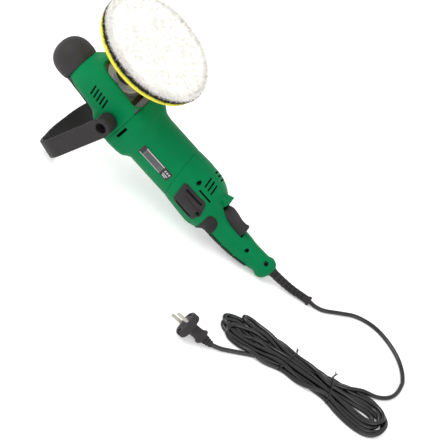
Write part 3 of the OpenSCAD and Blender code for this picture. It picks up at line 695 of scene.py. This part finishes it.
def settle(points, fixed, rounds):
    """Lets the lead find its place: no two runs share room, nothing is under the floor, ties hold."""
    p = points.copy()
    n = len(p)
    spacing = np.linalg.norm(np.diff(points, axis=0), axis=1)
    index = np.arange(n)
    free = np.ones(n, bool)
    free[:fixed] = free[-6:] = False
    for step in range(rounds):
        move = np.zeros_like(p)
        move[1:-1] += 0.16 * ((p[:-2] + p[2:]) / 2 - p[1:-1])
        move[2:-2] -= 0.06 * (p[:-4] - 4 * p[1:-3] + 6 * p[2:-2] - 4 * p[3:-1] + p[4:]) / 3
        move[:, 2] -= 0.03
        p[free] += move[free]
        if step % 8 == 0:
            gap = np.linalg.norm(p[:, None, :] - p[None, :, :], axis=2)
            a, b = np.nonzero(np.triu(gap < CORD_D + SLACK, NEIGHBOURS))
        apart = p[b] - p[a]
        dist = np.linalg.norm(apart, axis=1) + 1e-9
        overlap = np.maximum(CORD_D * 1.01 - dist, 0)[:, None] * apart / dist[:, None]
        push = np.zeros_like(p)
        count = np.zeros(n)
        np.add.at(push, a, -0.5 * overlap)
        np.add.at(push, b, 0.5 * overlap)
        hit = (overlap ** 2).sum(1) > 0
        np.add.at(count, a[hit], 1)
        np.add.at(count, b[hit], 1)
        push /= np.maximum(count, 1)[:, None] ** 0.5
        p[free] += push[free]
        for first in (0, 1):
            i = index[first:-1:2]
            d = p[i + 1] - p[i]
            length = np.linalg.norm(d, axis=1)
            fix = (0.5 * (length - spacing[i]) / length)[:, None] * d
            p[i] += fix * free[i][:, None]
            p[i + 1] -= fix * free[i + 1][:, None]
        for tie_x, tie_y in TIES:
            near = free & (np.abs(p[:, 0] - tie_x) < TIE_REACH)
            room = TIE_HALF - CORD_D / 2
            p[near, 1] = np.clip(p[near, 1], tie_y - room, tie_y + room)
            p[near, 2] = np.minimum(p[near, 2], HANK_H - CORD_D / 2)
        p[free, 2] = np.clip(p[free, 2], CORD_D / 2, HANK_H + 1 - CORD_D / 2)
    for _ in range(10):
        calm = p.copy()
        calm[1:-1] = (p[:-2] + 2 * p[1:-1] + p[2:]) / 4
        p[free] = calm[free]
    return p


def lead_line():
    """Middle line of the whole lead, from the guard's end to the plug, row mm."""
    start = smooth_route(LEAD, 8)
    end = smooth_route(PLUG_RUN, 8)
    hank = smooth_route([LEAD[-1]] + hank_guess() + [PLUG_RUN[0]], 8)
    line = resampled(np.concatenate([start, hank[1:-1], end]), 4.0)
    fixed = int(np.argmin(np.linalg.norm(line - np.array(LEAD[9]), axis=1)))
    return settle(line, fixed, 420)


def curve_piece(points, radius, name):
    data = bpy.data.curves.new(name, "CURVE")
    data.dimensions = "3D"
    data.bevel_depth = radius
    data.bevel_resolution = 5
    data.use_fill_caps = True
    spline = data.splines.new("POLY")
    spline.points.add(len(points) - 1)
    for point, place in zip(spline.points, points):
        point.co = (*place, 1)
    spline.use_smooth = True
    obj = bpy.data.objects.new(name, data)
    bpy.context.scene.collection.objects.link(obj)
    return obj


def wire(points, radius, name, slot):
    """Round bar along row points, finished and tied to the tool."""
    obj = curve_piece(points * MM, radius * MM, name)
    obj.data.materials.append(FINISH[slot])
    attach(obj, "tool")
    return obj


def make_tie(k, line):
    """Twist tie: a wire pulled round the hank, its two ends twisted and sticking out."""
    x, y = TIES[k]
    near = line[(np.abs(line[:, 0] - x) < 8) & (np.abs(line[:, 1] - y) < 30)]
    low, high = near[:, 1].min() - CORD_D / 2 - 0.9, near[:, 1].max() + CORD_D / 2 + 0.9
    top = near[:, 2].max() + CORD_D / 2 + 0.9
    lean = 5 if k == 0 else -4
    span = high - low
    way = [(x - lean, low + 3, 1.2), (x, (low + high) / 2, 1.0), (x + lean, high - 3, 1.2),
           (x + lean, high, 5),
           (x + lean * 0.9, high - span * 0.1, top * 0.8), (x + lean * 0.4, high - span * 0.33, top + 0.8),
           (x - lean * 0.2, low + span * 0.35, top + 0.8), (x - lean * 0.8, low + span * 0.1, top * 0.78),
           (x - lean, low, 5), (x - lean, low + 2, 1.4)]
    round_hank = smooth_route(way, 8)
    knot = np.array(way[3])
    pieces = [wire(round_hank, 0.9, f"tie_{k + 1}_loop", "tie_wire")]
    away = -1 if k == 0 else 1
    for end, flare in enumerate(((-4, 1.5, 2.5), (4, 3, 0.5))):
        twist = []
        for t in range(7):
            turn = end * math.pi + t * 1.1
            twist.append(knot + np.array([away * 3.4 * t / 12 + math.cos(turn), 1 + t * 0.6,
                                          1 + 0.5 * t + math.sin(turn)]))
        route = smooth_route(twist + [twist[-1] + np.array(flare)], 5)
        pieces.append(wire(route, 0.65, f"tie_{k + 1}_end_{end + 1}", "tie_wire"))
    return pieces


def plug_turn(obj):
    """Lays a piece of the plug, drawn with +X from its face to the lead, in its place on the floor."""
    turn = Matrix.Translation(PLUG_FACE)
    for degrees, axis in ((PLUG_TURN, "Z"), (PLUG_DROP, "Y"), (PLUG_ROLL, "X")):
        turn = turn @ Matrix.Rotation(math.radians(degrees), 4, axis)
    obj.data.transform(turn)
    return obj


def make_plug():
    """Round two-pin plug: flattened flange with two slots, square body, collar and ribbed relief."""
    disc = [(y, max(min(z, 16.2), -16.2)) for y, z in circle(18.5, 96)]
    flange = rounded(prism(disc, "x", 0, 11.5), 2.4, 5)
    for side in (-1, 1):
        slot = block((-1, 12.4 * side - 1.6, -5), (9.5, 12.4 * side + 1.6, 5))
        groove = block((-1, 16.6 * side - 2.6, -2.3), (14, 16.6 * side + 2.6, 2.3))
        flange = cut(cut(flange, slot), groove)
    neck = [(11, 9.4, 8.4, 4), (13, 8.2, 7.2, 4), (16, 7.6, 6.8, 4), (24, 7.6, 6.8, 4), (28.4, 8.2, 7.2, 4),
            (29.6, 9.6, 8.2, 5), (30.2, 9.8, 8.4, 5), (33.6, 9.6, 8.3, 5), (34.2, 8.8, 7.6, 4),
            (34.4, 5, 5, 2)]
    body = lofted([ring([x, half, 0, high, high, n, n, 0], 0, 64) for x, half, high, n in neck])
    ribs = []
    for i in range(4):
        x, r = 34.0 + 4 * i, 7.3 - 0.75 * i
        ribs.append(round_bar([(x, r - 1.6), (x + 0.5, r - 0.3), (x + 1.1, r), (x + 2.1, r),
                               (x + 2.7, r - 0.3), (x + 3.2, r - 1.7)], 48))
    nose = round_bar([(33, 5.6), (44, 4.6), (50, 4.1), (51, 3.6)], 48)
    plug = placed(plug_turn(joined(flange, body, nose, *ribs)), "plug_moulding", "dark_rubber", "tool",
                  ["plug_body"], "row")
    pins = []
    for z in (-9.5, 9.5):
        pin = [(2.5, 2.4), (-15.5, 2.4), (-17.6, 2.15), (-18.6, 1.5), (-19, 0.6)]
        sleeve = [(0.4, 2.55), (-7.6, 2.55), (-7.9, 2.35)]
        pins += [moved(round_bar(profile, 32), (0, 0, z)) for profile in (pin, sleeve)]
    pins = placed(plug_turn(joined(*pins)), "plug_pin_pair", "bright_steel", "tool", ["plug_pins"], "row",
                  material="pin_steel")
    return [plug, pins]


def make_guard():
    """Ribbed cord guard: a tapered tube with rows of slots between rings, and an end collar."""
    line = resampled(smooth_route(GUARD, 10), 0.8)
    total = np.linalg.norm(np.diff(line, axis=0), axis=1).sum()
    pitch, first, last = 7.6, 10.0, total - 14.0

    def outline(share):
        run = share * total
        r = 7.3 - 1.5 * share
        if run > total - 4.5:
            r += 1.5 * min((run - total + 4.5) / 0.8, 1)
        phase = (run - first) / pitch
        in_slot = first < run < last and (phase % 1) < 0.52
        shape = []
        for a in full_turn(48):
            deep = 1.9 if in_slot and abs(math.sin(2 * a)) > 0.42 else 0.0
            ridge = 0.9 if abs(math.cos(a)) > 0.985 or abs(math.sin(a)) > 0.985 else 0.0
            shape.append(((r - deep + ridge) * math.cos(a), (r - deep + ridge) * math.sin(a)))
        return shape

    guard = swept(line, outline)
    collar = round_bar([(349.2, 8.6), (356.6, 8.6), (358.6, 8.4), (359.4, 7.8), (359.8, 6.2)], 64, 0.7)
    collar.data.transform(tool_matrix())
    collar.data.transform(Matrix.Scale(1 / MM, 4))
    return placed(joined(guard, collar), "cord_guard_ribbed", "dark_rubber", "tool", ["cord_guard"], "row",
                  sharp=30)


def make_lead():
    line = lead_line()
    smooth = resampled(smooth_route(line, 3), 2.2)
    lead = curve_piece(smooth * MM, CORD_D / 2 * MM, "mains_lead")
    lead.data.materials.append(FINISH["cord_rubber"])
    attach(lead, "tool")
    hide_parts("power_cord", "cord_hank", "plug_lead")
    ties = make_tie(0, line) + make_tie(1, line)
    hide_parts("hank_ties")
    plug = make_plug()
    return make_guard()


# ---- Shells ----

def flank(sections, x):
    """A shell's section at x, as [half width, centre z, top, pad, n_top, n_pad]."""
    table = np.array(sections, float)
    return [float(monotone(table[:, 0], table[:, c], np.array([x]))[0]) for c in range(1, 7)]


def side_slot(x, z, length, width, side, tilt=0.0, along="z", depth=(28, 60)):
    """Round-ended slot through the flank, its length along z or x, tilted within the flank."""
    outline = slot_outline(length, width)
    if along == "z":
        outline = [(b, a) for a, b in outline]
    low, high = flank_span(side, *depth)
    return moved(turned(prism(outline, "y", low, high), "Y", tilt), (x, 0, z))


def angled_slot(x, angle, length, width, side, tilt=0.0, along="z", depth=(28, 60)):
    """Slot at an angle round the motor axis: 0 is the flank, 90 the pad side."""
    return turned(side_slot(x, 0, length, width, side, tilt, along, depth), "X", angle * side)


def make_head():
    sections = stations(HEAD, 2.0, high=48.9)
    shell = tube_shell(sections, 0, WALL, 0.5, closed_start=True)
    vents = [side_slot(-15.5 + 6.4 * i, 12, 19, 2.7, side, -11) for side in (-1, 1) for i in range(5)]
    shell = cut(shell, block((-60, -60, RIM_Z - 0.9), (60, 60, 80)), block((30, -37, 36), (60, 37, 60)))
    shell = cut(shell, joined(*vents))
    shell = cut(shell, prism(circle(11.3, 64, PIVOT_X, 0), "y", 30, 60))
    shell = cut(shell, prism(circle(11.3, 64, PIVOT_X, 0), "y", -60, -30))
    shell = cut(shell, prism(circle(4.8, 48, -13, 0), "z", -45, -20))
    return placed(shell, "head_shell", "green_shell", "tool", ["head_cover"])


def make_rim():
    """Rounded bead along the edge of the head's opening."""
    xs = np.concatenate([np.linspace(0, 1, 30) ** 2 * 9 - 33.4, np.linspace(-23, 47.2, 40)])
    edge = []
    for x in xs:
        half, middle, top, pad, n_top, n_pad = flank(HEAD, x)
        share = (RIM_Z - 1.2) / pad
        if share < 1:
            y = half * (1 - share ** n_pad) ** (1 / n_pad)
            edge.append((x, max(y - WALL / 2, 0.0)))
    path = [(x, -y, RIM_Z - 1.2) for x, y in edge[::-1]] + [(x, y, RIM_Z - 1.2) for x, y in edge]
    path = resampled(smooth_route(resampled(path, 3.0), 3), 1.2)
    bead = swept(path, [(1.62 * a, 1.5 * b) for a, b in circle(1, 14)])
    return placed(bead, "head_rim", "green_shell", "tool", (), sharp=50)


def make_motor_housing():
    shell = tube_shell(stations(MOTOR, 2.4, low=49.25, high=157.9), 0, 2.6, 0.5)
    window = [(-2.1, -11.7), (2.1, -11.7), (2.1, 11.7), (-2.1, 11.7)]
    slots = [moved(prism(window, "y", *flank_span(side, 36, 60)), (55.7, 0, 2.8)) for side in (-1, 1)]
    shell = cut(shell, joined(*slots))
    return placed(shell, "motor_shell", "green_shell", "tool", ["motor_housing"])


def half_rear(side):
    """One half of the rear shell, with a fine groove where it meets the other."""
    sections = stations(REAR, 2.0)
    quarter = AROUND // 4
    start = quarter if side < 0 else 3 * quarter
    index = np.arange(start, start + 2 * quarter + 1) % AROUND
    gap, groove = 0.12, 0.5
    rings = []
    for k, s in enumerate(sections):
        grow = -0.5 if k in (0, len(sections) - 1) else 0.0
        outer = ring(s, grow)[index]
        inner = ring(s, -WALL)[index][::-1].copy()
        first, last = outer[0].copy(), outer[-1].copy()
        for point, sign in ((first, np.sign(outer[0][2] - s[2])), (last, np.sign(outer[-1][2] - s[2]))):
            point[2] -= sign * groove
            point[1] = side * gap
        outer[0][1] = outer[-1][1] = side * (gap + groove)
        inner[0][1] = inner[-1][1] = side * gap
        rings.append(np.concatenate([[first], outer, [last], inner]))
    return lofted(rings)


def rear_cutters(side):
    """Everything that is cut through one half of the rear shell."""
    slots = [angled_slot(191.2 + 6.9 * i, 67, 19, 2.7, side, -8) for i in range(3)]
    slots += [angled_slot(202, 42, 24.5, 2.7, side, 0, "x"), angled_slot(188, -36, 6, 2.8, side, 0, "x"),
              angled_slot(211, -36, 23, 2.4, side, 0, "x")]
    pocket = block((236.4, -9.6, -2), (287.5, 9.6, 60))
    throat = block((235, -9.6, 12), (241, 9.6, 24))
    dial = block((332.3, -3.6, -40), (347.7, 3.6, 0))
    return [joined(*slots), pocket, throat, dial]


def make_rear(side, name, node):
    shell = half_rear(side)
    lug = prism(round_corners([(218, 24), (219, 28.6), (228, 31), (233.4, 34.3), (236.3, 34.3), (236, 24),
                               (234, 17), (224, 17)], 2.0), "y", *flank_span(side, 0.12, 9))
    shell = fuse(shell, rounded(lug, 1.2, 3, 50))
    shell = cut(shell, *rear_cutters(side))
    holes = []
    for x, z in REAR_SCREWS:
        holes.append(prism(circle(3.3, 40, x, z), "y", *flank_span(side, 6, 60)))
    shell = cut(shell, joined(*holes))
    if side > 0:
        shell = cut(shell, prism(circle(4.9, 48, 268, -12), "y", 10, 40))
    cups = []
    for x, z in REAR_SCREWS:
        half, middle, top, pad, n_top, n_pad = flank(REAR, x)
        reach = pad if z > middle else top
        y = half * math.sqrt(max(1 - ((z - middle) / reach) ** 2, 0.05))
        depth = min(13, y - 4)
        sleeve = cut(prism(circle(4.6, 40, x, z), "y", *flank_span(side, y - depth, y - 1.2)),
                     prism(circle(3.25, 40, x, z), "y", *flank_span(side, y - depth + 1, y + 2)))
        cups.append(sleeve)
    cups = keep(joined(*cups), solid_loft(stations(REAR, 4.0), -1.0))
    # The cups inside the screw holes are finished black: painted shade, so that the holes read dark.
    placed(cups, name + "_screw_cups", "green_shell", "tool", (), material="carbon")
    return placed(shell, name, "green_shell", "tool", [node])


def skin_patch(outline, axis, low, high, sections, thickness, sink, corner=2.0):
    """Panel that lies on a shell: the part of a slightly larger skin inside an outline."""
    xs = [p[0] for p in outline]
    inside = [s for s in stations(sections, 1.8) if min(xs) - 6 < s[0] < max(xs) + 6]
    skin = tube_shell(np.array(inside), thickness, thickness + sink, 0.0)
    return keep(skin, prism(round_corners(outline, corner), axis, low, high))


# Outlines of the inlays in the tool's side view, as x and z in tool mm
COVER = [(168, 20), (171, 22.6), (208, 22.6), (212.4, 19.6), (215, 15.6), (218.8, 6), (216.6, 1.2),
         (217.6, -7.5), (215, -11.2), (181, -11.2), (174.6, -9)]
GRIP = [(233, -50), (231, -18), (228.5, 9), (233, 9.8), (241, 6.5), (248, 2.5), (251.5, -4), (253.5, -14),
        (253.5, -26), (253.5, -50)]
STRIPS = [[(x0, z0), (x1, z1), (x1, -50), (x0, -50)]
          for x0, z0, x1, z1 in ((255, -20, 277.5, -21.5), (280, -21.5, 300.5, -19.5),
                                 (303, -19.5, 324, -14))]
COVER_SCREW = (214, 5)


def make_vent_cover(side, name, node):
    low, high = flank_span(side, 20, 60)
    panel = skin_patch(COVER, "y", low, high, REAR, 1.9, 0.4, 3.0)
    slots = [side_slot(192.5, 18.0, 32.5, 3.4, side, 0, "x", (20, 60)),
             side_slot(195.0, -8.0, 31, 2.9, side, 0, "x", (20, 60))]
    panel = cut(panel, joined(*slots), prism(circle(3.4, 40, *COVER_SCREW), "y", low, high))
    return placed(panel, name, "dark_plastic", "tool", [node], sharp=40)


def make_cover_trim(side, name):
    """Raised rib along the middle of the vent cover, a rim at its screw, and black sheets behind its slots as
    painted shade.
    """
    rib = skin_patch([(183, 8.5), (209, 6.4), (209, 9.0), (183, 11.0)], "y", *flank_span(side, 20, 60),
                     REAR, 2.9, -1.2, 1.0)
    # Black sheets just behind the cover's slots: painted shade, so that the slots read dark.
    slot_shade_sheets = [skin_patch([(x0, z - 2.2), (x1, z - 2.2), (x1, z + 2.2), (x0, z + 2.2)], "y",
                         *flank_span(side, 20, 60), REAR, 0.3, 0.3, 1.0)
              for x0, x1, z in ((175, 210, 18.0), (178.5, 211.5, -8.0))]
    placed(joined(*slot_shade_sheets), name + "_floors", "dark_plastic", "tool", (), material="carbon")
    half = flank(REAR, COVER_SCREW[0])[0]
    rim = prism(circle(5.4, 48, *COVER_SCREW), "y", *flank_span(side, half - 1.5, half + 1.9))
    hole = prism(circle(3.6, 40, *COVER_SCREW), "y", *flank_span(side, 20, 60))
    rim = rounded(cut(rim, hole), 0.5, 2)
    return placed(joined(rib, rim), name, "dark_plastic", "tool", (), sharp=40)


def make_slot_backs():
    """Black sheets a little way behind the vents: painted shade, so that the slots read dark and deep."""
    rear = tube_shell(stations(REAR, 3.0, low=166, high=228), -WALL - 1.4, 0.8, 0.0)
    backs = []
    for side in (-1, 1):
        skin = tube_shell(stations(HEAD, 3.0, low=-25, high=20), -WALL - 0.1, 0.5, 0.0)
        window = [(-22, 1), (17, 1), (17, 23), (-22, 23)]
        backs.append(keep(skin, prism(window, "y", *flank_span(side, 20, 60))))
    return placed(joined(rear, *backs), "vent_shade_sheets", "dark_plastic", "tool", (), material="carbon")


def make_grips():
    parts = [skin_patch(GRIP, "y", -60, 60, REAR, 1.0, 0.6, 3.0)]
    parts += [skin_patch(strip, "y", -60, 60, REAR, 1.5, 0.6, 1.6) for strip in STRIPS]
    return placed(joined(*parts), "soft_grip_pads", "dark_rubber", "tool", ["soft_grip"], sharp=40,
                  material="grip_rubber")


def make_nose():
    """Rounded nose ball with a lip at the head, and the strip that runs from it over the head."""
    rings = []
    front = -67 - 30 * np.cos(np.linspace(0.06, math.pi / 2, 26))
    for x in np.concatenate([front, np.linspace(-65, -53.6, 8)]):
        power = 2.2 if x < -67 else 2.6
        r = 30 * (1 - (abs(x + 67) / 30.02) ** power) ** (1 / power)
        rings.append(ring([x, r, -5, r, r, 2.1, 2.1, 0], 0, 96))
    end = ring([-53.1, 27.2, -5, 27.2, 27.2, 2.1, 2.1, 0], 0, 96)
    ball = lofted(rings + [end])
    strip_plan = [(-53.4, -26), (-20, -27), (6, -24), (13, -12), (13, 12), (6, 24), (-20, 27), (-53.4, 26)]
    inside = stations(HEAD, 1.8, high=20)
    strip = keep(tube_shell(inside, 2.0, 2.6, 0.0), prism(round_corners(strip_plan, 6), "z", -60, -10))
    strip = cut(strip, prism(circle(5.8, 48, -13, 0), "z", -60, 0))
    placed(strip, "head_strip", "dark_rubber", "tool", (), sharp=40)
    return placed(ball, "nose_ball", "dark_rubber", "tool", ["nose_grip"])


def make_trigger():
    profile = [(237.4, 4), (237.4, 12), (240, 19), (247, 22.5), (258, 21.5), (270, 18.5), (277, 18.5),
               (283, 21.5), (285.5, 19), (285.5, 4), (280, 3), (245, 3)]
    lip_side = [(241.5, 15), (247, 18), (258, 17.2), (270, 14.4), (277, 14.4), (277, 12.6), (241.5, 12.6)]
    body = rounded(prism(round_corners(profile, 5.0, 6), "y", -9, 9), 1.8, 5, 50)
    lip = rounded(prism(round_corners(lip_side, 1.0), "y", -9.35, 9.35), 0.35, 2)
    return placed(joined(body, lip), "trigger_moulding", "dark_plastic", "trigger", ["trigger"], sharp=40)


def make_label():
    """Plate on the flank with blank panels and bars where a rating label carries its print."""
    def patch(x0, x1, z0, z1, lift=0.38):
        a0, a1 = math.asin(z0 / TUBE_R), math.asin(z1 / TUBE_R)
        arc = np.linspace(a0, a1, 14)
        outer = [(-(TUBE_R + lift) * math.cos(a), (TUBE_R + lift) * math.sin(a)) for a in arc]
        inner = [(-(TUBE_R + 0.1) * math.cos(a), (TUBE_R + 0.1) * math.sin(a)) for a in arc[::-1]]
        return prism(outer + inner, "x", x0, x1)

    placed(patch(90, 149, 1, 15, 0.32), "label_plate", "label", "tool", ["rating_label"])
    placed(patch(97.5, 133, 2.8, 12.0, 0.36), "label_panel", "label", "tool", (), material="label_grey")
    bars = [patch(96.5, 133.5, 12.6, 14.0), patch(92, 133.5, 1.4, 2.3)]
    bars += [patch(137 + 3.9 * i, 139.2 + 3.9 * i, 9.4, 12.2) for i in range(3)]
    bars += [patch(136.5, 146.5, 5.6, 7.0), patch(138, 144.6, 2.6, 4.4)]
    placed(joined(*bars), "label_bars", "label", "tool", (), material="label_pale")
    lines = [patch(99.5, 131 - 3 * (i % 3), 10.6 - 1.15 * i, 11.0 - 1.15 * i) for i in range(7)]
    placed(joined(*lines), "label_lines", "label", "tool", (), material="label")


# ---- Loop handle ----

def loop_path():
    """Outside of the strap in its own plane: [across, reach] from one pivot round to the other."""
    corner, bow = 38.0, 6.0
    side = [(LOOP_HALF, t) for t in np.linspace(0, LOOP_REACH - bow - corner, 22)]
    bend = [(LOOP_HALF - corner + corner * math.cos(a), LOOP_REACH - bow - corner + corner * math.sin(a))
            for a in np.radians(np.arange(3, 87, 4))]
    bar = [(y, LOOP_REACH - bow * (y / (LOOP_HALF - corner)) ** 2)
           for y in np.linspace(LOOP_HALF - corner, 0, 12)]
    half = side + bend + bar
    return half + [(-y, r) for y, r in half[-2::-1]]


def strap_outline():
    """Cross-section [across the width, inwards]: rounded outside, and a groove along both edges."""
    w, t = STRAP_W / 2, STRAP_T
    edge = [(w - 1.8, 0), (w - 0.7, 0.25), (w - 0.15, 0.8), (w, 1.2), (w, 1.4), (w - 2.2, 1.5),
            (w - 2.2, 2.9), (w, 3.0), (w, t - 0.9), (w - 0.25, t - 0.3), (w - 0.9, t), (w - 2.6, t),
            (w - 3.2, t - 0.5)]
    return edge + [(-a, b) for a, b in edge[::-1]]


def make_loop_handle():
    path = loop_path()
    rings = []
    for k, (y, r) in enumerate(path):
        a, b = path[max(k - 1, 0)], path[min(k + 1, len(path) - 1)]
        along = np.array([b[0] - a[0], b[1] - a[1]])
        along = along / np.linalg.norm(along)
        inward = np.array([-along[1], along[0]])
        if np.dot(inward, [-y, LOOP_REACH * 0.4 - r]) < 0:
            inward = -inward
        rings.append([(w, y + inward[0] * d, -(r + inward[1] * d)) for w, d in strap_outline()])
    strap = lofted(rings)
    for side in (-1, 1):
        low, high = 44.3, LOOP_HALF - 0.3
        boss = [(low, 13.4), (low + 0.7, 14), (high - 2.4, 14), (high - 1.1, 13.6), (high - 0.3, 12.7),
                (high + 0.15, 11.4), (high + 0.2, 8.8)]
        strap = fuse(strap, lofted([[(a, side * y, b) for a, b in circle(r, 72)] for y, r in boss]))
    strap = turned(strap, "Y", LOOP_TILT)
    strap = moved(strap, (PIVOT_X, 0, 0))
    for side in (-1, 1):
        strap = cut(strap, prism(circle(8.2, 56, PIVOT_X, 0), "y", *flank_span(side, 57.6, 90)),
                    prism(circle(5.2, 48, PIVOT_X, 0), "y", *flank_span(side, 30, 60)))
    return placed(strap, "loop_handle_strap", "dark_plastic", "loop_handle", ["loop_handle"], sharp=32)


# ---- Bonnet ----

def make_backing():
    """Yellow backing disc, and the black loop sheet on its face."""
    foam = lathe([(0, 96), (38, 96), (62, 98), (80.5, 101.4), (84.2, 102.8), (85.9, 104.6), (86.4, 107.2),
                  (86.2, 109.0), (85.2, 110), (0, 110)], 160)
    placed(foam, "backing_disc", "yellow_foam", "spindle_group", ["backing_pad"])
    loop = lathe([(0, 109.9), (83.6, 109.9), (85.0, 110.8), (85.8, 112.4), (86.0, 115.4), (85.6, 116.8),
                  (84.4, 117.4), (0, 117.4)], 160)
    return placed(loop, "loop_sheet", "black_loop", "spindle_group", ["loop_layer"])


def tuft_height(x, y):
    """Height of the wool's tufts over its plain face: a few seeded waves, no two alike."""
    waves = np.zeros_like(x)
    source = np.random.default_rng(21)
    for size, height in ((38, 0.9), (19, 0.8), (9.5, 0.75), (5.5, 0.5)):
        for _ in range(7):
            turn, phase = source.uniform(0, 2 * math.pi, 2)
            k = 2 * math.pi / (size * source.uniform(0.75, 1.3))
            waves += height * np.sin(k * (x * math.cos(turn) + y * math.sin(turn)) + phase) / 3.2
    return waves


def wool_base():
    """The bonnet's body: a low cushion whose face and edge are broken into tufts."""
    sides = 260
    profile = [(r, PAD_FACE - 2.0) for r in np.linspace(2, 74, 34)]
    profile += [(r, PAD_FACE - down) for r, down in
                ((76.5, 2.3), (79, 2.9), (81.4, 4.0), (83.4, 5.4), (84.8, 7.0), (85.2, 8.8), (84.6, 10.4))]
    profile += [(83, 113.7), (60, 113.5)]
    rings = []
    turn = full_turn(sides)
    for r, z in profile:
        x, y = r * np.cos(turn), r * np.sin(turn)
        lift = tuft_height(x, y) * (1.0 if z > 114 else 0.0)
        out = 1 + 0.006 * tuft_height(x * 1.3 + 40, y * 1.3) * (1.0 if r > 74 else 0.0)
        rings.append(np.stack([x * out, y * out, z + lift * (1.0 if r < 82 else 0.5)], axis=1))
    centre = (0, 0, float(rings[0][:, 2].mean()))
    verts = np.concatenate(rings + [[centre]])
    last = (len(rings) - 1) * sides
    faces = [(a + i, a + sides + i, a + sides + (i + 1) % sides, a + (i + 1) % sides)
             for a in range(0, last, sides) for i in range(sides)]
    faces += [(len(verts) - 1, i, (i + 1) % sides) for i in range(sides)]
    faces.append(tuple(last + i for i in range(sides)))
    return outward(raw(verts, faces))


def fibres(roots, ways, lengths, width, droop):
    """Curled ribbons: one thin strip of four points for each fibre."""
    count = len(roots)
    steps = np.array([0, 0.34, 0.68, 1.0])
    bend = rng.normal(size=(count, 3)) * 0.45
    side = np.cross(ways, rng.normal(size=(count, 3)))
    side /= np.linalg.norm(side, axis=1)[:, None] + 1e-9
    verts = []
    for k, s in enumerate(steps):
        middle = roots + ways * (lengths * s)[:, None] + bend * (lengths * s ** 2)[:, None] * 0.5
        middle[:, 2] -= droop * s ** 2
        half = width * (1 - 0.75 * s) / 2
        verts += [middle - side * half, middle + side * half]
    verts = np.stack(verts, axis=1).reshape(-1, 3)
    rows = np.arange(count)[:, None] * 8
    quads = np.concatenate([rows + np.array([[2 * k, 2 * k + 1, 2 * k + 3, 2 * k + 2]]) for k in range(3)])
    return raw(verts, [tuple(map(int, q)) for q in quads])


def fringe(count, edge, band_z, rise, tangle, lengths, width, droop):
    """Fibres that stand out of a band round the rim. edge is its radius and bulge, band_z its two ends."""
    turn = rng.uniform(0, 2 * math.pi, count)
    height = rng.uniform(0, 1, count)
    r = edge[0] + edge[1] * np.sin(height * math.pi)
    low, tall = band_z
    roots = np.stack([r * np.cos(turn), r * np.sin(turn), low + tall * height], axis=1)
    ways = np.stack([np.cos(turn), np.sin(turn), height * 0.9 + rise], axis=1)
    ways = ways + rng.normal(size=(count, 3)) * tangle
    ways /= np.linalg.norm(ways, axis=1)[:, None]
    return fibres(roots, ways, rng.uniform(*lengths, count), width, droop)


def make_wool():
    base = placed(wool_base(), "bonnet_wool", "wool", "spindle_group", ["wool_pad"], sharp=0)
    count = 26000
    r = PAD_R * np.sqrt(rng.uniform(0.0, 0.93, count))
    turn = rng.uniform(0, 2 * math.pi, count)
    x, y = r * np.cos(turn), r * np.sin(turn)
    roots = np.stack([x, y, PAD_FACE - 3.0 + tuft_height(x, y)], axis=1)
    ways = rng.normal(size=(count, 3))
    ways[:, 2] = np.abs(ways[:, 2]) * 0.35 + 0.12
    ways /= np.linalg.norm(ways, axis=1)[:, None]
    face = fibres(roots, ways, rng.uniform(3.5, 7.5, count), 0.55, 0.6)
    placed(face, "bonnet_pile", "wool", "spindle_group", (), sharp=0)
    pale = fringe(9000, (82.6, 2.4), (118.0, 4.6), -0.35, 0.35, (2.0, 4.6), 0.55, 0.8)
    placed(pale, "bonnet_fringe", "wool", "spindle_group", (), sharp=0)
    dark = fringe(11000, (85.2, 0), (111.0, 7.0), 0.1, 0.4, (1.8, 4.2), 0.6, 0.0)
    placed(dark, "loop_fringe", "black_loop", "spindle_group", (), sharp=0)


# ---- Finishes of the parts that keep their CAD shape ----

def finish_cad():
    slots = {part["node"]: part["material_slot"] for part in frame["record"]["subparts"]}
    own = {"handle_bolts": "carbon", "bearing_retainer": "seat_steel", "rear_screws": "carbon"}
    for name, obj in frame["nodes"].items():
        wanted = slots.get(name)
        for spot in obj.material_slots:
            key = wanted or (spot.material.name if spot.material else "")
            if key in FINISH:
                spot.material = FINISH[own.get(name, key)]


make_lead()
make_head()
make_rim()
make_motor_housing()
make_rear(-1, "rear_shell_right", "rear_housing_right")
make_rear(1, "rear_shell_left", "rear_housing_left")
make_vent_cover(-1, "vent_panel_right", "vent_cover_right")
make_vent_cover(1, "vent_panel_left", "vent_cover_left")
make_cover_trim(-1, "vent_trim_right")
make_cover_trim(1, "vent_trim_left")
make_slot_backs()
make_grips()
make_nose()
make_trigger()
make_label()
make_loop_handle()
make_backing()
make_wool()
finish_cad()
